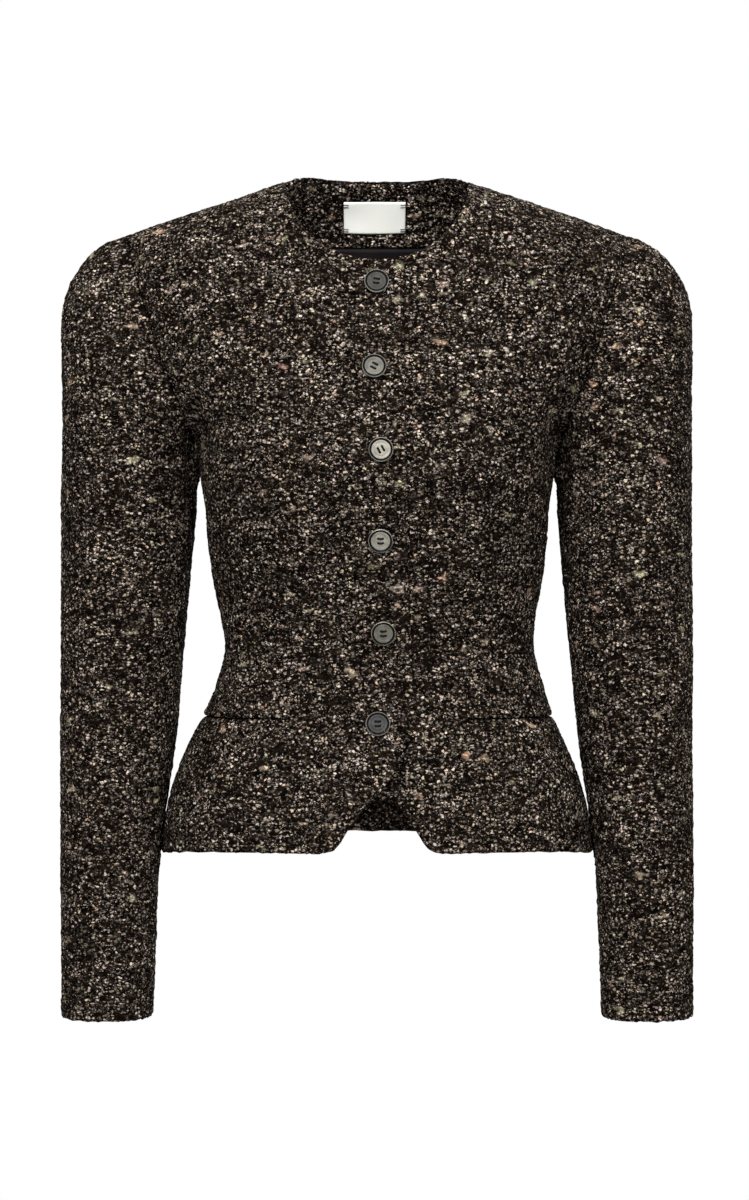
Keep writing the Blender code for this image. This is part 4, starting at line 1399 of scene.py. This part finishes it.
def plain_button():
    """One turned button with a raised rim, a groove and a flat middle, at the origin."""
    bpy.ops.object.select_all(action="DESELECT")
    bpy.ops.mesh.primitive_cone_add(
        vertices=72, radius1=BLANK_BOTTOM * MM, radius2=BLANK_TOP * MM,
        depth=BLANK_HEIGHT * MM, location=(0, 0, BLANK_HEIGHT / 2 * MM),
    )
    thing = bpy.context.object
    for material in (HORN_GROOVE_PAINTED_SHADE, HORN, HORN_EDGE):
        thing.data.materials.append(material)
    bpy.ops.object.transform_apply(location=True)
    bpy.ops.object.mode_set(mode="EDIT")
    bpy.ops.mesh.select_mode(type="FACE")
    pick(is_top)
    radius = BLANK_TOP
    for up, wider in OUTSIDE:
        bpy.ops.mesh.extrude_region_move(TRANSFORM_OT_translate={"value": (0, 0, up * MM)})
        scale = wider / radius
        bpy.ops.transform.resize(value=(scale, scale, 1), center_override=(0, 0, 0))
        radius = wider
    for thickness, up in FACE:
        step_in(thickness, up)
    bpy.ops.object.mode_set(mode="OBJECT")
    for sx in (-1, 1):
        for sy in (-1, 1):
            bore(thing, sx * BUTTON_HOLE_SPREAD, sy * BUTTON_HOLE_SPREAD)
    soften(thing)
    # Faces whose middles lie between the two radii, the groove and the blank's slanted side, take
    # the near-black horn: painted shade in the groove. The middle takes the button's own horn, the
    # outer rim the glossy edge.
    for face in thing.data.polygons:
        away = math.hypot(face.center.x, face.center.y)
        face.material_index = 1 if away < MIDDLE_RADIUS * MM else 2 * int(away > RIM_RADIUS * MM)
    return thing


def soften(thing):
    """Rounds a button's sharp edges a little."""
    edges = thing.modifiers.new("edges", "BEVEL")
    edges.width = SOFT_EDGE * MM
    edges.segments = 2
    edges.limit_method = "ANGLE"
    edges.angle_limit = math.radians(BEVEL_ABOVE)
    apply(thing, edges)
    bpy.ops.object.select_all(action="DESELECT")
    thing.select_set(True)
    bpy.ops.object.shade_smooth_by_angle(angle=math.radians(SMOOTH_BELOW))


def apply(thing, modifier):
    bpy.context.view_layer.objects.active = thing
    bpy.ops.object.modifier_apply(modifier=modifier.name)


def bore(thing, x, y):
    """Cuts one thread hole through a button."""
    bpy.ops.mesh.primitive_cylinder_add(
        vertices=20, radius=BUTTON_HOLE / 2 * MM, depth=12 * MM, location=(x * MM, y * MM, 2 * MM)
    )
    cutter = bpy.context.object
    cut = thing.modifiers.new("hole", "BOOLEAN")
    cut.operation = "DIFFERENCE"
    cut.solver = "EXACT"
    cut.object = cutter
    apply(thing, cut)
    bpy.data.objects.remove(cutter)


def seat(name, x, z, angle):
    """A button's middle on the front, under its solid's back, and its own three axes."""
    turn = turn_at_x(x, z)
    point = on_body(turn, z)
    normal = outward(point, turn)
    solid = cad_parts[name].data
    low = min(normal @ (np.array(vertex.co) / MM - point) for vertex in solid.vertices)
    across = unit(np.cross((0, 0, 1), normal))
    axes = np.stack([across, np.cross(normal, across), normal], axis=1)
    c, s = math.cos(math.radians(angle)), math.sin(math.radians(angle))
    return point + normal * low, axes @ np.array([(c, -s, 0), (s, c, 0), (0, 0, 1)])


def buttons():
    """Six buttons, each turned as it was sewn on, in horn tones that are partly their own and
    partly painted reflection.
    """
    master = plain_button()
    for i, ((x, z), (angle, finish)) in enumerate(zip(outline(BUTTONS), LOOKS)):
        name = f"button_{i + 1}"
        base, axes = seat(name, x, z, angle)
        thing = added(f"{name}_horn", master.data.copy())
        for vertex in thing.data.vertices:
            vertex.co = tuple(base * MM + axes @ np.array(vertex.co))
        thing.data.materials[1] = finish
        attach(thing, "root")
        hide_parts(name)
        strands(f"{name}_thread", button_threads(base, axes))
    bpy.data.objects.remove(master)


def button_threads(base, axes):
    """Two strands over each pair of holes."""
    a = BUTTON_HOLE_SPREAD
    tubes = []
    for y in (-a, a):
        for shift in (-THREAD_SPREAD, THREAD_SPREAD):
            path = [(a * u, y + shift * v, up) for u, v, up in THREAD_PATH]
            tubes.append(tube([base + axes @ np.array(p) for p in path], THREAD_RADIUS))
    return tubes


# ---- Camera, light and floor ----

# Where the camera stands, how high a stretch it sees there, and its sensor in millimetres.
CAMERA_AT = (-0.002, -2.5, -0.3328)
SEEN_HEIGHT = 0.96
SENSOR = 36.0

# Each light: its name, place, size and power. All of them point at the chest.
LIGHTS = (
    ("key", (-0.9, -2.3, 1.4), 1.5, 76.0), ("fill", (1.3, -2.2, 0.9), 1.5, 47.0),
    ("top", (0.0, -0.6, 1.9), 1.6, 43.0), ("neck", (-0.1, -1.5, 0.5), 0.7, 9.0),
    ("back", (0.7, 2.3, 0.9), 1.5, 40.0),
)
CHEST = Vector((0, 0, -0.12))
SKY_LIGHT, SKY_SEEN = 0.5, 1.0
FLOOR_LEVEL = -1.3
FLOOR_RADIUS = 1.1


def studio():
    """A camera level with the waist, soft light all round, and a pale floor."""
    scene = bpy.context.scene
    scene.view_settings.view_transform = "Standard"
    camera = bpy.data.cameras.new("camera")
    camera.sensor_width = SENSOR
    camera.lens = SENSOR * -CAMERA_AT[1] / SEEN_HEIGHT
    eye = added("camera", camera)
    eye.location = CAMERA_AT
    eye.rotation_euler = (math.pi / 2, 0, 0)
    scene.camera = eye
    world = bpy.data.worlds.new("studio")
    world.use_nodes = True
    tree = world.node_tree
    tree.nodes["Background"].inputs[0].default_value = (1, 1, 1, 1)
    seen = add(tree, "ShaderNodeLightPath").outputs["Is Camera Ray"]
    strength = add(tree, "ShaderNodeMapRange", {0: seen, 3: SKY_LIGHT, 4: SKY_SEEN}).outputs[0]
    tree.links.new(strength, tree.nodes["Background"].inputs[1])
    scene.world = world
    for name, place, size, power in LIGHTS:
        lamp = bpy.data.lights.new(name, "AREA")
        lamp.size = size
        lamp.energy = power
        thing = added(name, lamp)
        thing.location = place
        thing.rotation_euler = (CHEST - Vector(place)).to_track_quat("-Z", "Y").to_euler()
    pale_floor()


def pale_floor():
    bpy.ops.mesh.primitive_circle_add(
        vertices=96, radius=FLOOR_RADIUS, fill_type="NGON", location=(0, 0, FLOOR_LEVEL)
    )
    floor = bpy.context.object
    floor.name = "floor"
    bpy.ops.object.transform_apply(location=True)
    finish, tree, shader = new_finish("pale_floor")
    shader.inputs["Base Color"].default_value = (0.86, 0.86, 0.85, 1)
    shader.inputs["Roughness"].default_value = 0.8
    floor.data.materials.append(finish)


body_pieces()
sleeve_pieces()
neck_facing()
back_lining()
neck_label()
buttons()
studio()
